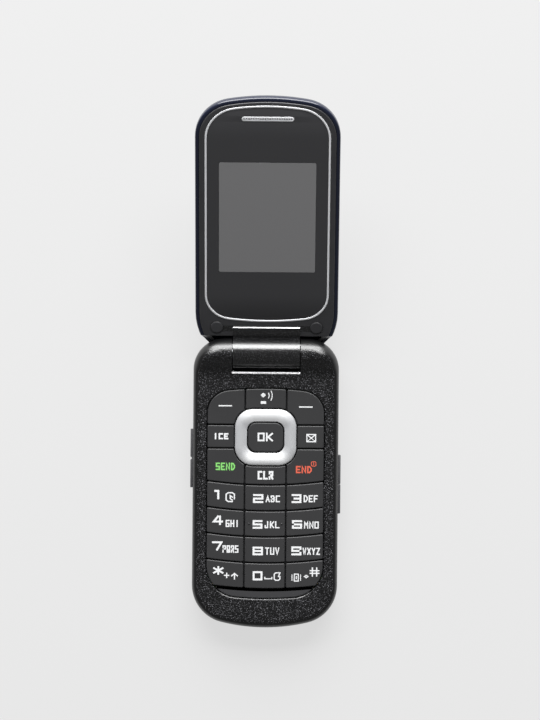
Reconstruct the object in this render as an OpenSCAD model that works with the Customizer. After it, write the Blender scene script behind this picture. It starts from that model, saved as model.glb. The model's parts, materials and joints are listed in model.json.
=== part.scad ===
// Flip phone with a keypad base and a folding screen lid, drawn open and lying on its back.
// X runs across the phone, Y from the keypad end to the hinge, Z up from the resting face.
// Lid pieces are drawn in the lid's own frame (Y along the lid from the hinge axis, Z out of
// its inner face) and set at the rest angle by in_lid().

/* [Body] */
// Length of the closed phone
phone_l = 98.3; // [96:0.1:106]
// Width of the base without its side keys
base_w = 49.2; // [48.6:0.1:54]
// Thickness of the base, from back to keypad face
base_t = 9.8; // [9.6:0.1:12]
// Width of the lid
lid_w = 48.0; // [47.4:0.1:49]
// Thickness of the lid
lid_t = 7.6; // [7.2:0.1:10]
// Gap between the keypad face and the lid face when closed
closed_gap = 0.6; // [0.5:0.05:1]
// Wall of the moulded housings
wall = 1.4; // [1.2:0.05:1.8]
// Radius of the base's lower corners in plan
base_corner_r = 13; // [10:0.5:16]
// Radius of the base's shoulders in plan
shoulder_r = 10.5; // [8:0.5:12]
// Crown radius of the base's keypad end
base_crown_r = 62; // [50:1:120]
// Radius of the lid's tip corners in plan
lid_corner_r = 13; // [10:0.5:16]
// Crown radius of the lid's tip
lid_crown_r = 75; // [60:1:150]
// Height of the joint between front and rear housings
split_z = 4.0; // [3.6:0.1:4.4]

/* [Hinge] */
// Outer radius of the hinge barrel and the shoulders' nose
barrel_r = 5.4; // [5.2:0.1:6]
// Length of the barrel on the lid
barrel_l = 22.6; // [20:0.1:26]
// Height of the hinge axis above the resting face
axis_z = 8.8; // [8.4:0.1:9.4]
// Angle from closed to open
open_angle = 155; // [140:1:165]
// Side gap between the barrel and each shoulder
barrel_gap = 0.3; // [0.2:0.05:0.5]
// Radius of the hinge cartridge
cartridge_r = 3.5; // [3:0.1:3.8]
// Length of the hinge cartridge
cartridge_l = 13; // [10:0.5:14]
// Radius of the shaft that the left shoulder holds
shaft_r = 1.9; // [1.5:0.1:2.2]
// Outer radius of the hollow bush in the right shoulder
bush_r = 2.7; // [2.4:0.1:3]
// Bore radius of the hollow bush
bush_bore_r = 1.9; // [1.5:0.1:2.1]
// Depth of the shaft and the bush in the shoulders
pin_depth = 5; // [4:0.5:6]
// Radial clearance of parts that turn in each other
turn_clear = 0.06; // [0.03:0.01:0.1]

/* [Keypad] */
// Width of the keypad opening
keypad_w = 39.8; // [38.5:0.1:41]
// Width of the middle column of keys, groove to groove
column_w = 14.0; // [13.2:0.1:15]
// Pitch of the number rows
row_pitch = 8.8; // [8.4:0.05:8.9]
// Length of the keypad above the first number row
upper_l = 32.8; // [32:0.1:34]
// Length of the fixed apron below the last row
apron_l = 3.0; // [2:0.1:4]
// Distance from the hinge axis to the keypad's top edge
keypad_top = 11.7; // [11.4:0.1:13]
// Radius of the smiling arcs between the number rows
row_arc_r = 143; // [110:1:200]
// Groove between neighbouring keys
key_gap = 0.4; // [0.3:0.05:0.5]
// Travel of every key
key_travel = 0.3; // [0.2:0.05:0.4]
// Height that the keys stand above the face
key_proud = 0.0; // [0:0.05:0.15]
// Radius of the stem under each key
stem_r = 1.2; // [0.8:0.1:1.5]

/* [Navigation] */
// Width of the navigation ring
nav_w = 20.7; // [19.5:0.1:21.5]
// Height of the navigation ring along the phone
nav_h = 19.0; // [18:0.1:19.6]
// Corner radius of the navigation ring
nav_r = 6.1; // [5:0.1:7]
// Width of the hole for the middle key
ok_w = 12.7; // [12:0.1:13.5]
// Height of the hole for the middle key
ok_h = 10.6; // [10:0.1:11]
// Corner radius of the hole for the middle key
ok_r = 3.0; // [2.4:0.1:4]
// Height that the ring's crest stands above the face
nav_proud = 0.3; // [0.1:0.05:0.35]
// Tilt of the ring to each side
nav_tilt = 1.2; // [0.5:0.1:1.5]

/* [Side keys] */
// Length of the volume rocker
rocker_l = 19.8; // [17:0.1:22]
// Length of the camera key
camera_key_l = 10.0; // [8:0.1:11]
// Length of the socket cover
port_cover_l = 9.9; // [9.6:0.1:11]
// Height of the side keys
side_key_h = 2.6; // [2:0.1:2.8]
// Height that the side keys stand out of the wall
side_proud = 0.85; // [0.6:0.05:1.2]
// Distance from the hinge axis to the middle of the rocker
rocker_at = 35.7; // [33:0.1:38]
// Distance from the hinge axis to the joint of the two right-hand pieces
right_joint_at = 44.2; // [41:0.1:46]

/* [Screens] */
// Width of the main screen's clear area
screen_w = 32.3; // [30:0.1:34]
// Height of the main screen's clear area
screen_h = 39.95; // [36:0.1:42]
// Distance from the hinge axis to the screen's lower edge
screen_at = 29.45; // [27:0.1:33]
// Width of the silver line round the face panel
ring_line_w = 0.65; // [0.4:0.05:1]
// Width of the face inside the silver line
face_w = 40.3; // [39.5:0.1:41]
// Length of the earpiece slot
slot_l = 17.3; // [12:0.1:20]
// Width of the earpiece slot
slot_w = 1.7; // [1.4:0.1:2.2]
// Number of holes in the earpiece slot
slot_holes = 21; // [9:2:25]
// Width of the small outer screen
outer_screen_w = 22; // [16:0.5:26]
// Height of the small outer screen
outer_screen_h = 14; // [10:0.5:18]
// Radius of the camera's window
camera_r = 3.6; // [3:0.1:4.5]

/* [Electrics] */
// Width of the battery
battery_w = 33.6; // [30:0.2:34.4]
// Length of the battery
battery_l = 50; // [44:0.5:52]
// Thickness of the battery
battery_t = 4.0; // [3.6:0.1:4.1]
// Bore radius of the headset socket
jack_r = 1.8; // [1.75:0.05:1.9]
// Depth of the headset socket
jack_l = 14.2; // [12:0.1:15]
// Thickness of the main board
board_t = 0.8; // [0.6:0.1:1]
// Thickness of the battery cover
cover_t = 1.0; // [0.8:0.1:1.2]

/* [Hidden] */
$fn = 48;
thin = 0.02;
fit = 0.1;
slide_gap = 0.15;
far = 200;
half_w = base_w / 2;
lid_half_w = lid_w / 2;
tail_y = -phone_l / 2;
nose_y = phone_l / 2;
axis_y = nose_y - barrel_r;
rest_tilt = 180 - open_angle;
// Heights inside the base, from the back upwards
battery_z = cover_t + 0.2;
ledge_z = cover_t + slide_gap;
ledge_t = 0.65;
floor_z = ledge_z + ledge_t;
bay_roof_z = battery_z + battery_t + 0.2;
bay_roof_t = 0.6;
bay_wall = 0.8;
board_z = bay_roof_z + bay_roof_t + 0.15;
dome_z = board_z + board_t;
dome_t = 0.2;
mat_z = dome_z + dome_t;
mat_t = 0.5;
mat_top = mat_z + mat_t;
face_t = 1.2;
face_under = base_t - face_t;
key_top = base_t + key_proud;
key_bottom = mat_top + key_travel + fit;
stem_bottom = dome_z + dome_t + key_travel + 0.05;
nav_drop = nav_w / 2 * sin(nav_tilt) + 0.05;
carrier_z = mat_top + nav_drop;
carrier_t = 0.35;
ring_z = carrier_z + carrier_t + nav_drop;
ring_top = base_t + nav_proud;
side_z = split_z + side_key_h / 2 + slide_gap + 0.05;
// Plan of the base
edge_r = 2.4;
inner_inset = wall + 0.4;
shoulder_crown_r = 400;
shoulder_y = axis_y - 9;
notch_clear = 0.35;
notch_chamfer = 1.05;
notch_floor_z = axis_z - barrel_r - 0.5;
slab_end_y = axis_y - 0.4;
slab_heel_r = 3.2;
hump_l = 7.5;
hump_h = axis_z + barrel_r - base_t;
notch_half = barrel_l / 2 + barrel_gap;
// Plan of the keypad, measured down from its top edge
keypad_half = keypad_w / 2;
keypad_top_y = axis_y - keypad_top;
soft_l = 12.45;
ice_l = 7.95;
row_0_y = keypad_top_y - upper_l;
keypad_end_y = row_0_y - 4 * row_pitch - apron_l;
nav_y = keypad_top_y - soft_l - ice_l / 2 - 0.2;
keypad_top_crown = 115;
keypad_top_r = 8;
keypad_end_crown = 110;
keypad_end_r = 11;
// Middles of the keys, where their stems are, for the right-hand side
stem_out = (column_w / 2 + keypad_half) / 2;
soft_p = [stem_out, keypad_top_y - soft_l + 4.7];
ice_p = [stem_out + 1.2, keypad_top_y - soft_l - ice_l / 2];
send_p = [stem_out, (keypad_top_y - soft_l - ice_l + row_0_y) / 2];
voice_p = [0, keypad_top_y - 3.6];
clear_p = [0, row_0_y + 3.2];
// Side pieces
rocker_y = axis_y - rocker_at;
right_joint_y = axis_y - right_joint_at;
rocker_notch = 0.45;
side_flange_t = 0.6;
side_flange_x = half_w - inner_inset - 0.35;
flap_x = half_w - 1.1;
// Battery bay, SIM pocket and covers
cover_half = half_w - 1.3;
cover_end_at = 21.5;
cover_end_y = axis_y - cover_end_at;
battery_clear = 0.3;
battery_corner_r = 1.5;
battery_y = tail_y + inner_inset + 3.6;
bay_w = battery_w + 2 * battery_clear;
bay_l = battery_l + 2 * battery_clear;
contact_pitch = 3.4;
contact_w = 1.2;
contact_h = 1.8;
contact_z = 0.6;
sim_w = 14.4;
sim_l = 9.4;
sim_t = 1.3;
sim_rim = 1.2;
sim_skin = 0.4;
sim_corner_r = 0.6;
sim_y = battery_y + battery_l + battery_clear + bay_wall + 1;
sim_x = sim_w / 2 + 0.8;
sim_roof_z = battery_z + sim_t + 0.2;
screw_r = 0.6;
screw_head_r = 1.2;
screw_head_t = 0.8;
post_r = 2.1;
boss_r = 1.6;
screw_x = half_w - inner_inset - 1.1;
screw_top_at = 7.5;
screw_end_at = 15.5;
screw_ys = [axis_y - screw_top_at, tail_y + screw_end_at];
jack_at = 15.5;
jack_y = axis_y - jack_at;
jack_body_w = 5.6;
jack_body_h = 4.6;
jack_collar_r = 2.4;
jack_z = dome_z - fit - jack_body_h / 2;
jack_end_wall = 0.8;
jack_lip = 1;
usb_w = 8;
usb_h = 2.6;
usb_shell = 0.3;
usb_back = 0.8;
usb_tongue_inset = 1.2;
usb_tongue_t = 0.6;
usb_x = bay_w / 2 + bay_wall + 0.2;
usb_l = flap_x - 0.2 - usb_x;
usb_y = right_joint_y - port_cover_l / 2;
board_half = screw_x - post_r - 0.2;
mic_w = 2.6;
mic_l = 3.8;
mic_t = 1.1;
mic_y = tail_y + inner_inset + 1.6;
speaker_w = 14;
speaker_l = 8.4;
speaker_t = 2.8;
speaker_corner_r = 1.2;
speaker_x = 4;
speaker_y = (cover_end_y + shoulder_y) / 2;
vent_w = 0.9;
vent_l = 6;
vent_pitch = 2;
motor_r = 3.8;
motor_t = 2.6;
motor_x = speaker_x + speaker_w / 2 + motor_r + 0.6;
antenna_w = 14;
antenna_l = 1.65;
antenna_y = tail_y + inner_inset + 0.45;
// Lid, in its own frame
lid_face = -(base_t + closed_gap - axis_z);
lid_back = lid_face - lid_t;
lid_tip_back = 0.7;
lid_tip = phone_l - barrel_r - lid_tip_back;
lid_end = -7.9;
lid_end_r = 22;
// Where the lid is cut off square behind the shoulders
lid_cut = -0.5;
// How the lid's back rounds up into its sides and, more broadly, into its tip
lid_round_h = 6;
lid_side_round = 3.2;
lid_tip_round = 6;
lid_inner_shrink = 0.9;
lid_round_steps = [1, 0.967, 0.883, 0.75, 0.583, 0.367, 0.167];
neck_groove_l = 1.2;
neck_groove_h = 1.45;
cover_wall = 1.2;
parting_inset = 1.35;
inner_inset_lid = parting_inset + 1.25;
face_wall = 1.25;
panel_t = 0.8;
cove_r = barrel_r + 0.8;
neck_top = lid_face + closed_gap - 0.15;
neck_l = 8.4;
lid_floor = lid_back + cover_wall;
face_top = lid_tip - 3.2;
face_end = 11.7;
face_half = face_w / 2;
face_top_r = 10.4;
face_end_r = 8.5;
line_proud = 0.12;
slot_y = lid_tip - 7.3;
screen_y = screen_at + screen_h / 2;
plug_x = 16.8;
plug_y = 8.9;
plug_r = 2.15;
plug_proud = 0.2;
display_top = lid_face - face_wall - 0.05;
display_t = 1.8;
lid_board_z = lid_floor + 2.0;
outer_screen_at = 40.7;
outer_screen_y = lid_tip - outer_screen_at;
camera_at = 18.5;
camera_y = lid_tip - camera_at;
outer_lap = 1;
outer_corner_r = 1.5;
camera_body_w = 8;
camera_body_t = 2.2;
camera_nose_t = 3.2;
earpiece_t = 2.2;
earpiece_l = 5.4;
lid_board_t = 0.7;
display_rim = 1.8;
display_chin = 5;
screen_clear = 0.5;
// Hinge, along X from the middle of the barrel
barrel_half = barrel_l / 2;
cartridge_end = -barrel_half + cartridge_l;
shaft_in = 9;
bush_in = 3;
flex_bore_r = cartridge_r;
flex_t = 0.25;
flex_r = flex_bore_r - 0.3;
flex_w = 5;
flex_x0 = cartridge_end + 0.8;
flex_x1 = flex_x0 + flex_w;
flex_roll_r = bush_bore_r - 0.6;

// Half of a crowned end with rounded corners, from the side to the middle, its tip at y = 0.
// The outline keeps its true shape when it is drawn in by the inset d.
function half_end(hw, crown, r, d) =
  let (xk = hw - r, yk = sqrt(pow(crown - r, 2) - xk * xk) - crown,
       turn = atan2(yk + crown, xk), rr = max(r - d, thin), steps = 7, crown_steps = 4)
  concat(
    [for (i = [0:steps]) let (a = turn * i / steps) [xk + rr * cos(a), yk + rr * sin(a)]],
    [for (i = [1:crown_steps]) let (a = turn + (90 - turn) * i / crown_steps)
      [(crown - d) * cos(a), (crown - d) * sin(a) - crown]]);

// Whole outline between two such ends, counter-clockwise
function outline(hw, y0, crown0, r0, y1, crown1, r1, d) =
  let (low = half_end(hw, crown0, r0, d), high = half_end(hw, crown1, r1, d),
       nl = len(low) - 1, nh = len(high) - 1)
  concat(
    [for (p = high) [p.x, y1 + p.y]],
    [for (i = [nh - 1:-1:0]) [-high[i].x, y1 + high[i].y]],
    [for (p = low) [-p.x, y0 - p.y]],
    [for (i = [nl - 1:-1:0]) [low[i].x, y0 - low[i].y]]);

function base_outline(d) =
  outline(half_w, tail_y, base_crown_r, base_corner_r, nose_y, shoulder_crown_r, shoulder_r, d);
function keypad_outline(d) =
  outline(keypad_half, keypad_end_y, keypad_end_crown, keypad_end_r,
          keypad_top_y, keypad_top_crown, keypad_top_r, d);
function lid_outline(d, tip_in = 0) =
  outline(lid_half_w, lid_end, shoulder_crown_r, lid_end_r, lid_tip - tip_in, lid_crown_r,
          lid_corner_r, d);
function face_outline(d) =
  outline(face_half, face_end, shoulder_crown_r / 4, face_end_r, face_top, lid_crown_r,
          face_top_r, d);

// Round edge as [height, inset] pairs, from the side wall up to the face at z_face
function edge_up(z_face, rz, rx) =
  [for (a = [30, 55, 75, 90]) [z_face - rz * (1 - sin(a)), rx * (1 - cos(a))]];
function edge_down(z_face, rz, rx) =
  [for (a = [90, 70, 45, 20]) [z_face + rz * (1 - sin(a)), rx * (1 - cos(a))]];

module span(x0, x1, y0, y1, z0, z1) {
  translate([x0, y0, z0]) cube([x1 - x0, y1 - y0, z1 - z0]);
}

module round_rect(w, h, r) {
  if (w > 2 * r + thin) square([w - 2 * r, h], center = true);
  if (h > 2 * r + thin) square([w, h - 2 * r], center = true);
  for (x = [-1, 1], y = [-1, 1])
    translate([x * (w / 2 - r), y * (h / 2 - r)]) circle(r);
}

// Cylinder along X between x0 and x1, centred on the origin of Y and Z
module x_rod(x0, x1, r) {
  translate([x0, 0, 0]) rotate([0, 90, 0]) cylinder(r = r, h = x1 - x0);
}

// Y-Z profile drawn as X-Y points, stretched along X between x0 and x1
module x_prism(x0, x1) {
  translate([x0, 0, 0]) rotate([90, 0, 90]) linear_extrude(x1 - x0) children();
}

module at_axis() {
  translate([0, axis_y, axis_z]) children();
}

module in_lid() {
  at_axis() rotate([rest_tilt, 0, 0]) children();
}

// ---- Base -------------------------------------------------------------------------------

module slab_profile() {
  heel = [for (a = [-90:15:0]) [slab_end_y - slab_heel_r + slab_heel_r * cos(a),
                                slab_heel_r + slab_heel_r * sin(a)]];
  polygon(concat([[-far, -1], [slab_end_y - slab_heel_r, -1]], heel, [[slab_end_y, far], [-far, far]]));
}

module shoulder_profile() {
  steps = 12;
  hump = [for (i = [0:steps]) [axis_y - hump_l * i / steps,
                               base_t + hump_h * (1 + cos(180 * i / steps)) / 2]];
  translate([axis_y, axis_z]) circle(barrel_r);
  polygon(concat([[axis_y, axis_z]], hump, [[axis_y - hump_l, axis_z]]));
}

// Solid with straight sides from z0 to z1, and its rounded edge as [height, inset] layers
module base_layers(z0, z1, layers) {
  hull() {
    translate([0, 0, z0]) linear_extrude(z1 - z0) polygon(base_outline(0));
    for (l = layers) translate([0, 0, l[0]]) linear_extrude(thin) polygon(base_outline(l[1]));
  }
}

// Lower part of the base's slab, from the resting face up to the housing joint
module lower_slab() {
  intersection() {
    base_layers(edge_r, split_z, edge_down(0, edge_r, edge_r));
    x_prism(-far, far) slab_profile();
  }
}

// Upper part of the slab, and the two round shoulders that carry the hinge
module upper_slab() {
  shoulder_layers = [for (a = [-70, -35, 25, 45, 62, 78, 89])
                     [axis_z + barrel_r * sin(a), barrel_r * (1 - cos(a))]];
  intersection() {
    base_layers(split_z, base_t - edge_r, edge_up(base_t - thin, edge_r, edge_r));
    x_prism(-far, far) slab_profile();
  }
  intersection() {
    base_layers(axis_z - thin, axis_z + thin, shoulder_layers);
    x_prism(-far, far) shoulder_profile();
    union() {
      span(-far, far, -far, far, split_z, far);
      span(-far, far, slab_end_y, far, 0, far);
    }
  }
}

module barrel_notch() {
  wall_y = axis_y - barrel_r - notch_clear;
  lip_y = wall_y - notch_chamfer;
  x_prism(-notch_half, notch_half)
    polygon([[wall_y, notch_floor_z], [far, notch_floor_z], [far, far], [lip_y, far],
             [lip_y, base_t], [wall_y, base_t - notch_chamfer]]);
}

module side_slot(side, y0, y1) {
  span(side > 0 ? side_flange_x - 1 : -half_w - 2, side > 0 ? half_w + 2 : 1 - side_flange_x,
       y0 - slide_gap, y1 + slide_gap,
       side_z - side_key_h / 2 - slide_gap, side_z + side_key_h / 2 + slide_gap);
}

module jack_hole() {
  translate([0, jack_y, jack_z]) x_rod(-half_w - 1, -half_w + 4, jack_collar_r + fit);
}

module base_front_housing() color([0.13, 0.13, 0.14]) difference() {
  union() {
    difference() {
      upper_slab();
      intersection() {
        translate([0, 0, split_z - 1]) linear_extrude(face_under - split_z + 1)
          polygon(base_outline(inner_inset));
        span(-far, far, -far, shoulder_y, 0, far);
      }
    }
    for (x = [-1, 1]) translate([x * screw_x, screw_ys[1], split_z])
      cylinder(r = boss_r, h = face_under - split_z + thin);
  }
  translate([0, 0, face_under - 1]) linear_extrude(face_t + 2) polygon(keypad_outline(0));
  barrel_notch();
  at_axis() {
    x_rod(-notch_half - pin_depth, -notch_half + 1, shaft_r);
    x_rod(notch_half - 1, notch_half + pin_depth, bush_r);
  }
  side_slot(-1, rocker_y - rocker_l / 2, rocker_y + rocker_l / 2);
  side_slot(1, right_joint_y - port_cover_l, right_joint_y + camera_key_l);
  jack_hole();
  for (x = [-1, 1], y = screw_ys) translate([x * screw_x, y, split_z - 1])
    cylinder(r = screw_r, h = face_under - split_z + 0.4);
}

module base_rear_housing() color([0.10, 0.10, 0.11]) difference() {
  union() {
    difference() {
      lower_slab();
      intersection() {
        translate([0, 0, floor_z]) linear_extrude(split_z) polygon(base_outline(inner_inset));
        span(-far, far, -far, shoulder_y, 0, far);
      }
    }
    intersection() {
      span(-bay_w / 2 - bay_wall, bay_w / 2 + bay_wall, battery_y - battery_clear - bay_wall,
           battery_y + battery_l + battery_clear + bay_wall, ledge_z, bay_roof_z + bay_roof_t);
      linear_extrude(far) polygon(base_outline(inner_inset + fit));
    }
    span(-2 * sim_x, 2 * sim_x, sim_y - bay_wall, sim_y + sim_l + bay_wall, ledge_z,
         sim_roof_z + bay_roof_t);
    for (x = [-1, 1], y = screw_ys) translate([x * screw_x, y, ledge_z])
      cylinder(r = post_r, h = split_z - ledge_z);
  }
  span(-cover_half, cover_half, -far, cover_end_y, -1, ledge_z);
  span(-bay_w / 2, bay_w / 2, battery_y - battery_clear, battery_y + battery_l + battery_clear,
       0, bay_roof_z);
  span(-sim_x - sim_w / 2 - fit, sim_x + sim_w / 2 + fit, sim_y - fit, sim_y + sim_l + fit,
       0, sim_roof_z);
  barrel_notch();
  jack_hole();
  contact_slots(fit / 2);
  for (x = [-1, 1], y = screw_ys) translate([x * screw_x, y, 0]) {
    translate([0, 0, -1]) cylinder(r = screw_head_r + fit, h = ledge_z + screw_head_t + 1.1);
    cylinder(r = screw_r + fit / 2, h = split_z + 1);
  }
  for (i = [-2:2]) translate([speaker_x + i * vent_pitch, speaker_y, -1]) linear_extrude(4)
    round_rect(vent_w, vent_l, vent_w / 2);
}

module battery_cover() color([0.09, 0.09, 0.10]) intersection() {
  lower_slab();
  span(-cover_half + slide_gap, cover_half - slide_gap, -far, cover_end_y - slide_gap,
       -1, cover_t);
}

module battery() color([0.75, 0.76, 0.78])
  translate([0, battery_y + battery_l / 2, battery_z]) linear_extrude(battery_t)
    round_rect(battery_w, battery_l, battery_corner_r);

module contact_slots(grow) {
  for (x = [-1, 0, 1])
    span(x * contact_pitch - contact_w / 2 - grow, x * contact_pitch + contact_w / 2 + grow,
         battery_y + battery_l + 0.05, battery_y + battery_l + battery_clear + bay_wall + grow,
         battery_z + contact_z - grow, battery_z + contact_z + contact_h + grow);
}

module battery_contacts() color("gold") contact_slots(0);

module sim_sockets() color([0.7, 0.7, 0.72]) for (x = [-1, 1]) difference() {
  translate([x * sim_x, sim_y + sim_l / 2, battery_z]) linear_extrude(sim_t)
    round_rect(sim_w, sim_l, sim_corner_r);
  span(x * sim_x - sim_w / 2 + sim_rim, x * sim_x + sim_w / 2 - sim_rim, sim_y + sim_rim,
       sim_y + sim_l + 1, battery_z - 1, battery_z + sim_t - sim_skin);
}

module board_plate(z, t, half) {
  intersection() {
    translate([0, 0, z]) linear_extrude(t) polygon(base_outline(inner_inset + 0.4));
    span(-half, half, -far, shoulder_y - 0.4, z, z + t);
  }
}

module main_board() color([0.05, 0.25, 0.12]) difference() {
  board_plate(board_z, board_t, board_half);
  span(usb_x - 0.2, far, usb_y - usb_w / 2 - 0.2, usb_y + usb_w / 2 + 0.2, 0, far);
  span(-far, -half_w + jack_l + jack_end_wall + 0.4, jack_y - jack_body_w / 2 - 0.3,
       jack_y + jack_body_w / 2 + 0.3, 0, far);
}

module dome_sheet() color([0.8, 0.8, 0.75])
  translate([0, 0, dome_z]) linear_extrude(dome_t) polygon(keypad_outline(0.9));

// ---- Keys -------------------------------------------------------------------------------

function row_y(i) = row_0_y - i * row_pitch;

module above_arc(y, gap) {
  translate([0, y + row_arc_r]) circle(row_arc_r - gap / 2, $fn = 180);
}

module below_arc(y, gap) {
  difference() {
    translate([-far / 2, y - far / 2]) square([far, far / 2 + 6]);
    translate([0, y + row_arc_r]) circle(row_arc_r + gap / 2, $fn = 180);
  }
}

module column(col) {
  w = column_w - key_gap;
  if (col == 0) translate([-w / 2, -far / 2]) square([w, far]);
  else translate([col > 0 ? column_w / 2 + key_gap / 2 : -far / 2 - column_w / 2 - key_gap / 2,
                  -far / 2]) square([far / 2, far]);
}

module above_line(y) {
  translate([-far / 2, y + key_gap / 2]) square([far, far]);
}

module below_line(y) {
  translate([-far / 2, y - key_gap / 2 - far]) square([far, far]);
}

module nav_clear() {
  translate([0, nav_y]) round_rect(nav_w + 2 * key_gap, nav_h + 2 * key_gap, nav_r + key_gap);
}

// One key: its top from the outline given as children, and its stem at the point p
module key(p) color([0.2, 0.2, 0.21]) {
  translate([0, 0, key_bottom]) linear_extrude(key_top - key_bottom) children();
  translate([p.x, p.y, stem_bottom]) cylinder(r = stem_r, h = key_bottom - stem_bottom + thin);
}

function digit_p(i) =
  [((i - 1) % 3 - 1) * stem_out, row_y(floor((i - 1) / 3)) - row_pitch / 2];

module soft_key(s) key([s * soft_p.x, soft_p.y]) difference() {
  intersection() {
    polygon(keypad_outline(key_gap / 2));
    column(s);
    above_line(keypad_top_y - soft_l);
  }
  nav_clear();
}

module side_line_key(s) key([s * ice_p.x, ice_p.y]) difference() {
  intersection() {
    polygon(keypad_outline(key_gap / 2));
    column(s);
    below_line(keypad_top_y - soft_l);
    above_line(keypad_top_y - soft_l - ice_l);
  }
  nav_clear();
}

module call_key(s) key([s * send_p.x, send_p.y]) difference() {
  intersection() {
    polygon(keypad_outline(key_gap / 2));
    column(s);
    below_line(keypad_top_y - soft_l - ice_l);
    above_arc(row_0_y, key_gap);
  }
  nav_clear();
}

module voice_key() key(voice_p) difference() {
  intersection() {
    polygon(keypad_outline(key_gap / 2));
    column(0);
    above_line(nav_y);
  }
  nav_clear();
}

module clear_key() key(clear_p) difference() {
  intersection() {
    column(0);
    below_line(nav_y);
    above_arc(row_0_y, key_gap);
  }
  nav_clear();
}

// Number key i, counted 1 to 12 from the top left
module digit_key(i) key(digit_p(i)) intersection() {
  polygon(keypad_outline(key_gap / 2));
  column((i - 1) % 3 - 1);
  below_arc(row_y(floor((i - 1) / 3)), key_gap);
  above_arc(row_y(floor((i - 1) / 3) + 1), key_gap);
}

module softkey_left() soft_key(-1);
module softkey_right() soft_key(1);
module ice_key() side_line_key(-1);
module message_key() side_line_key(1);
module send_key() call_key(-1);
module end_key() call_key(1);

module ok_key() key([0, nav_y]) translate([0, nav_y])
  round_rect(ok_w - 2 * key_gap, ok_h - 2 * key_gap, ok_r - key_gap / 2);

module nav_hole(grow) {
  round_rect(ok_w + 2 * grow, ok_h + 2 * grow, ok_r + grow);
}

module nav_carrier() color([0.8, 0.8, 0.82]) translate([0, nav_y, carrier_z])
  linear_extrude(carrier_t) difference() {
    round_rect(nav_w - 1, nav_h - 1, nav_r - 0.5);
    nav_hole(0);
  }

module nav_ring() color([0.85, 0.86, 0.87]) translate([0, nav_y, 0]) difference() {
  crest = (nav_w - ok_w) / 2 * 0.45;
  hull($fn = 40) {
    translate([0, 0, ring_z]) linear_extrude(base_t - 0.4 - ring_z) round_rect(nav_w, nav_h, nav_r);
    translate([0, 0, ring_top - thin]) linear_extrude(thin)
      round_rect(nav_w - 2 * crest, nav_h - 2 * crest, nav_r - crest);
  }
  hull($fn = 40) {
    translate([0, 0, base_t - 0.5]) linear_extrude(thin) nav_hole(0);
    translate([0, 0, ring_top]) linear_extrude(thin) nav_hole(crest);
  }
  translate([0, 0, ring_z - 1]) linear_extrude(far) nav_hole(0);
}

module keypad_mat() color([0.16, 0.16, 0.17]) {
  difference() {
    translate([0, 0, mat_z]) linear_extrude(mat_t) polygon(keypad_outline(0.6));
    for (p = [voice_p, clear_p, [0, nav_y]]) mat_hole(p);
    for (s = [-1, 1], p = [soft_p, ice_p, send_p]) mat_hole([s * p.x, p.y]);
    for (i = [1:12]) mat_hole(digit_p(i));
  }
  translate([0, 0, mat_top - thin]) linear_extrude(base_t - 0.15 - mat_top) intersection() {
    polygon(keypad_outline(key_gap / 2));
    below_arc(row_y(4), key_gap);
  }
}

module mat_hole(p) {
  translate([p.x, p.y, mat_z - 1]) cylinder(r = stem_r + 0.3, h = mat_t + 2);
}

// ---- Side pieces and sockets ---------------------------------------------------------------

module side_bar(x0, x1, y0, y1) {
  span(x0, x1, y0, y1, side_z - side_key_h / 2, side_z + side_key_h / 2);
}

module volume_rocker() color([0.12, 0.12, 0.13]) difference() {
  union() {
    side_bar(-half_w - side_proud, -side_flange_x + thin, rocker_y - rocker_l / 2,
             rocker_y + rocker_l / 2);
    side_bar(-side_flange_x, -side_flange_x + side_flange_t, rocker_y - rocker_l / 2 - 0.6,
             rocker_y + rocker_l / 2 + 0.6);
  }
  translate([-half_w - side_proud, rocker_y, side_z - side_key_h]) linear_extrude(2 * side_key_h)
    polygon([[-1, -rocker_notch - 1], [rocker_notch, 0], [-1, rocker_notch + 1]]);
}

module camera_key() color([0.12, 0.12, 0.13]) {
  side_bar(side_flange_x - thin, half_w + side_proud, right_joint_y + slide_gap / 2,
           right_joint_y + camera_key_l);
  side_bar(side_flange_x - side_flange_t, side_flange_x, right_joint_y + slide_gap / 2,
           right_joint_y + camera_key_l + 0.6);
}

module port_cover() color([0.12, 0.12, 0.13])
  side_bar(flap_x, half_w + side_proud, right_joint_y - port_cover_l,
           right_joint_y - slide_gap / 2);

module usb_connector() color([0.7, 0.71, 0.73]) difference() {
  translate([usb_x, usb_y, side_z]) rotate([90, 0, 90]) linear_extrude(usb_l)
    round_rect(usb_w, usb_h, 2 * usb_shell);
  translate([usb_x + usb_back, usb_y, side_z]) rotate([90, 0, 90]) linear_extrude(usb_l)
    difference() {
      round_rect(usb_w - 2 * usb_shell, usb_h - 2 * usb_shell, usb_shell);
      translate([0, usb_tongue_t / 2])
        square([usb_w - 2 * usb_tongue_inset, usb_tongue_t], center = true);
    }
}

module headset_jack() color([0.15, 0.15, 0.16]) difference() {
  union() {
    translate([0, jack_y, jack_z])
      x_rod(-half_w + 0.05, -half_w + inner_inset + jack_lip, jack_collar_r);
    span(-half_w + inner_inset + 0.2, -half_w + jack_l + jack_end_wall, jack_y - jack_body_w / 2,
         jack_y + jack_body_w / 2, jack_z - jack_body_h / 2, jack_z + jack_body_h / 2);
  }
  translate([0, jack_y, jack_z]) x_rod(-half_w - 1, -half_w + jack_l, jack_r);
}

module microphone() color([0.75, 0.7, 0.4])
  span(-mic_l / 2, mic_l / 2, mic_y, mic_y + mic_w, dome_z, dome_z + mic_t);

module loudspeaker() color([0.2, 0.2, 0.2])
  translate([speaker_x, speaker_y, floor_z]) linear_extrude(speaker_t)
    round_rect(speaker_w, speaker_l, speaker_corner_r);

module vibration_motor() color([0.75, 0.75, 0.77])
  translate([motor_x, speaker_y, floor_z]) cylinder(r = motor_r, h = motor_t);

module antenna() color([0.8, 0.6, 0.3])
  span(-antenna_w / 2, antenna_w / 2, antenna_y, antenna_y + antenna_l, floor_z, board_z - 0.4);

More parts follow.
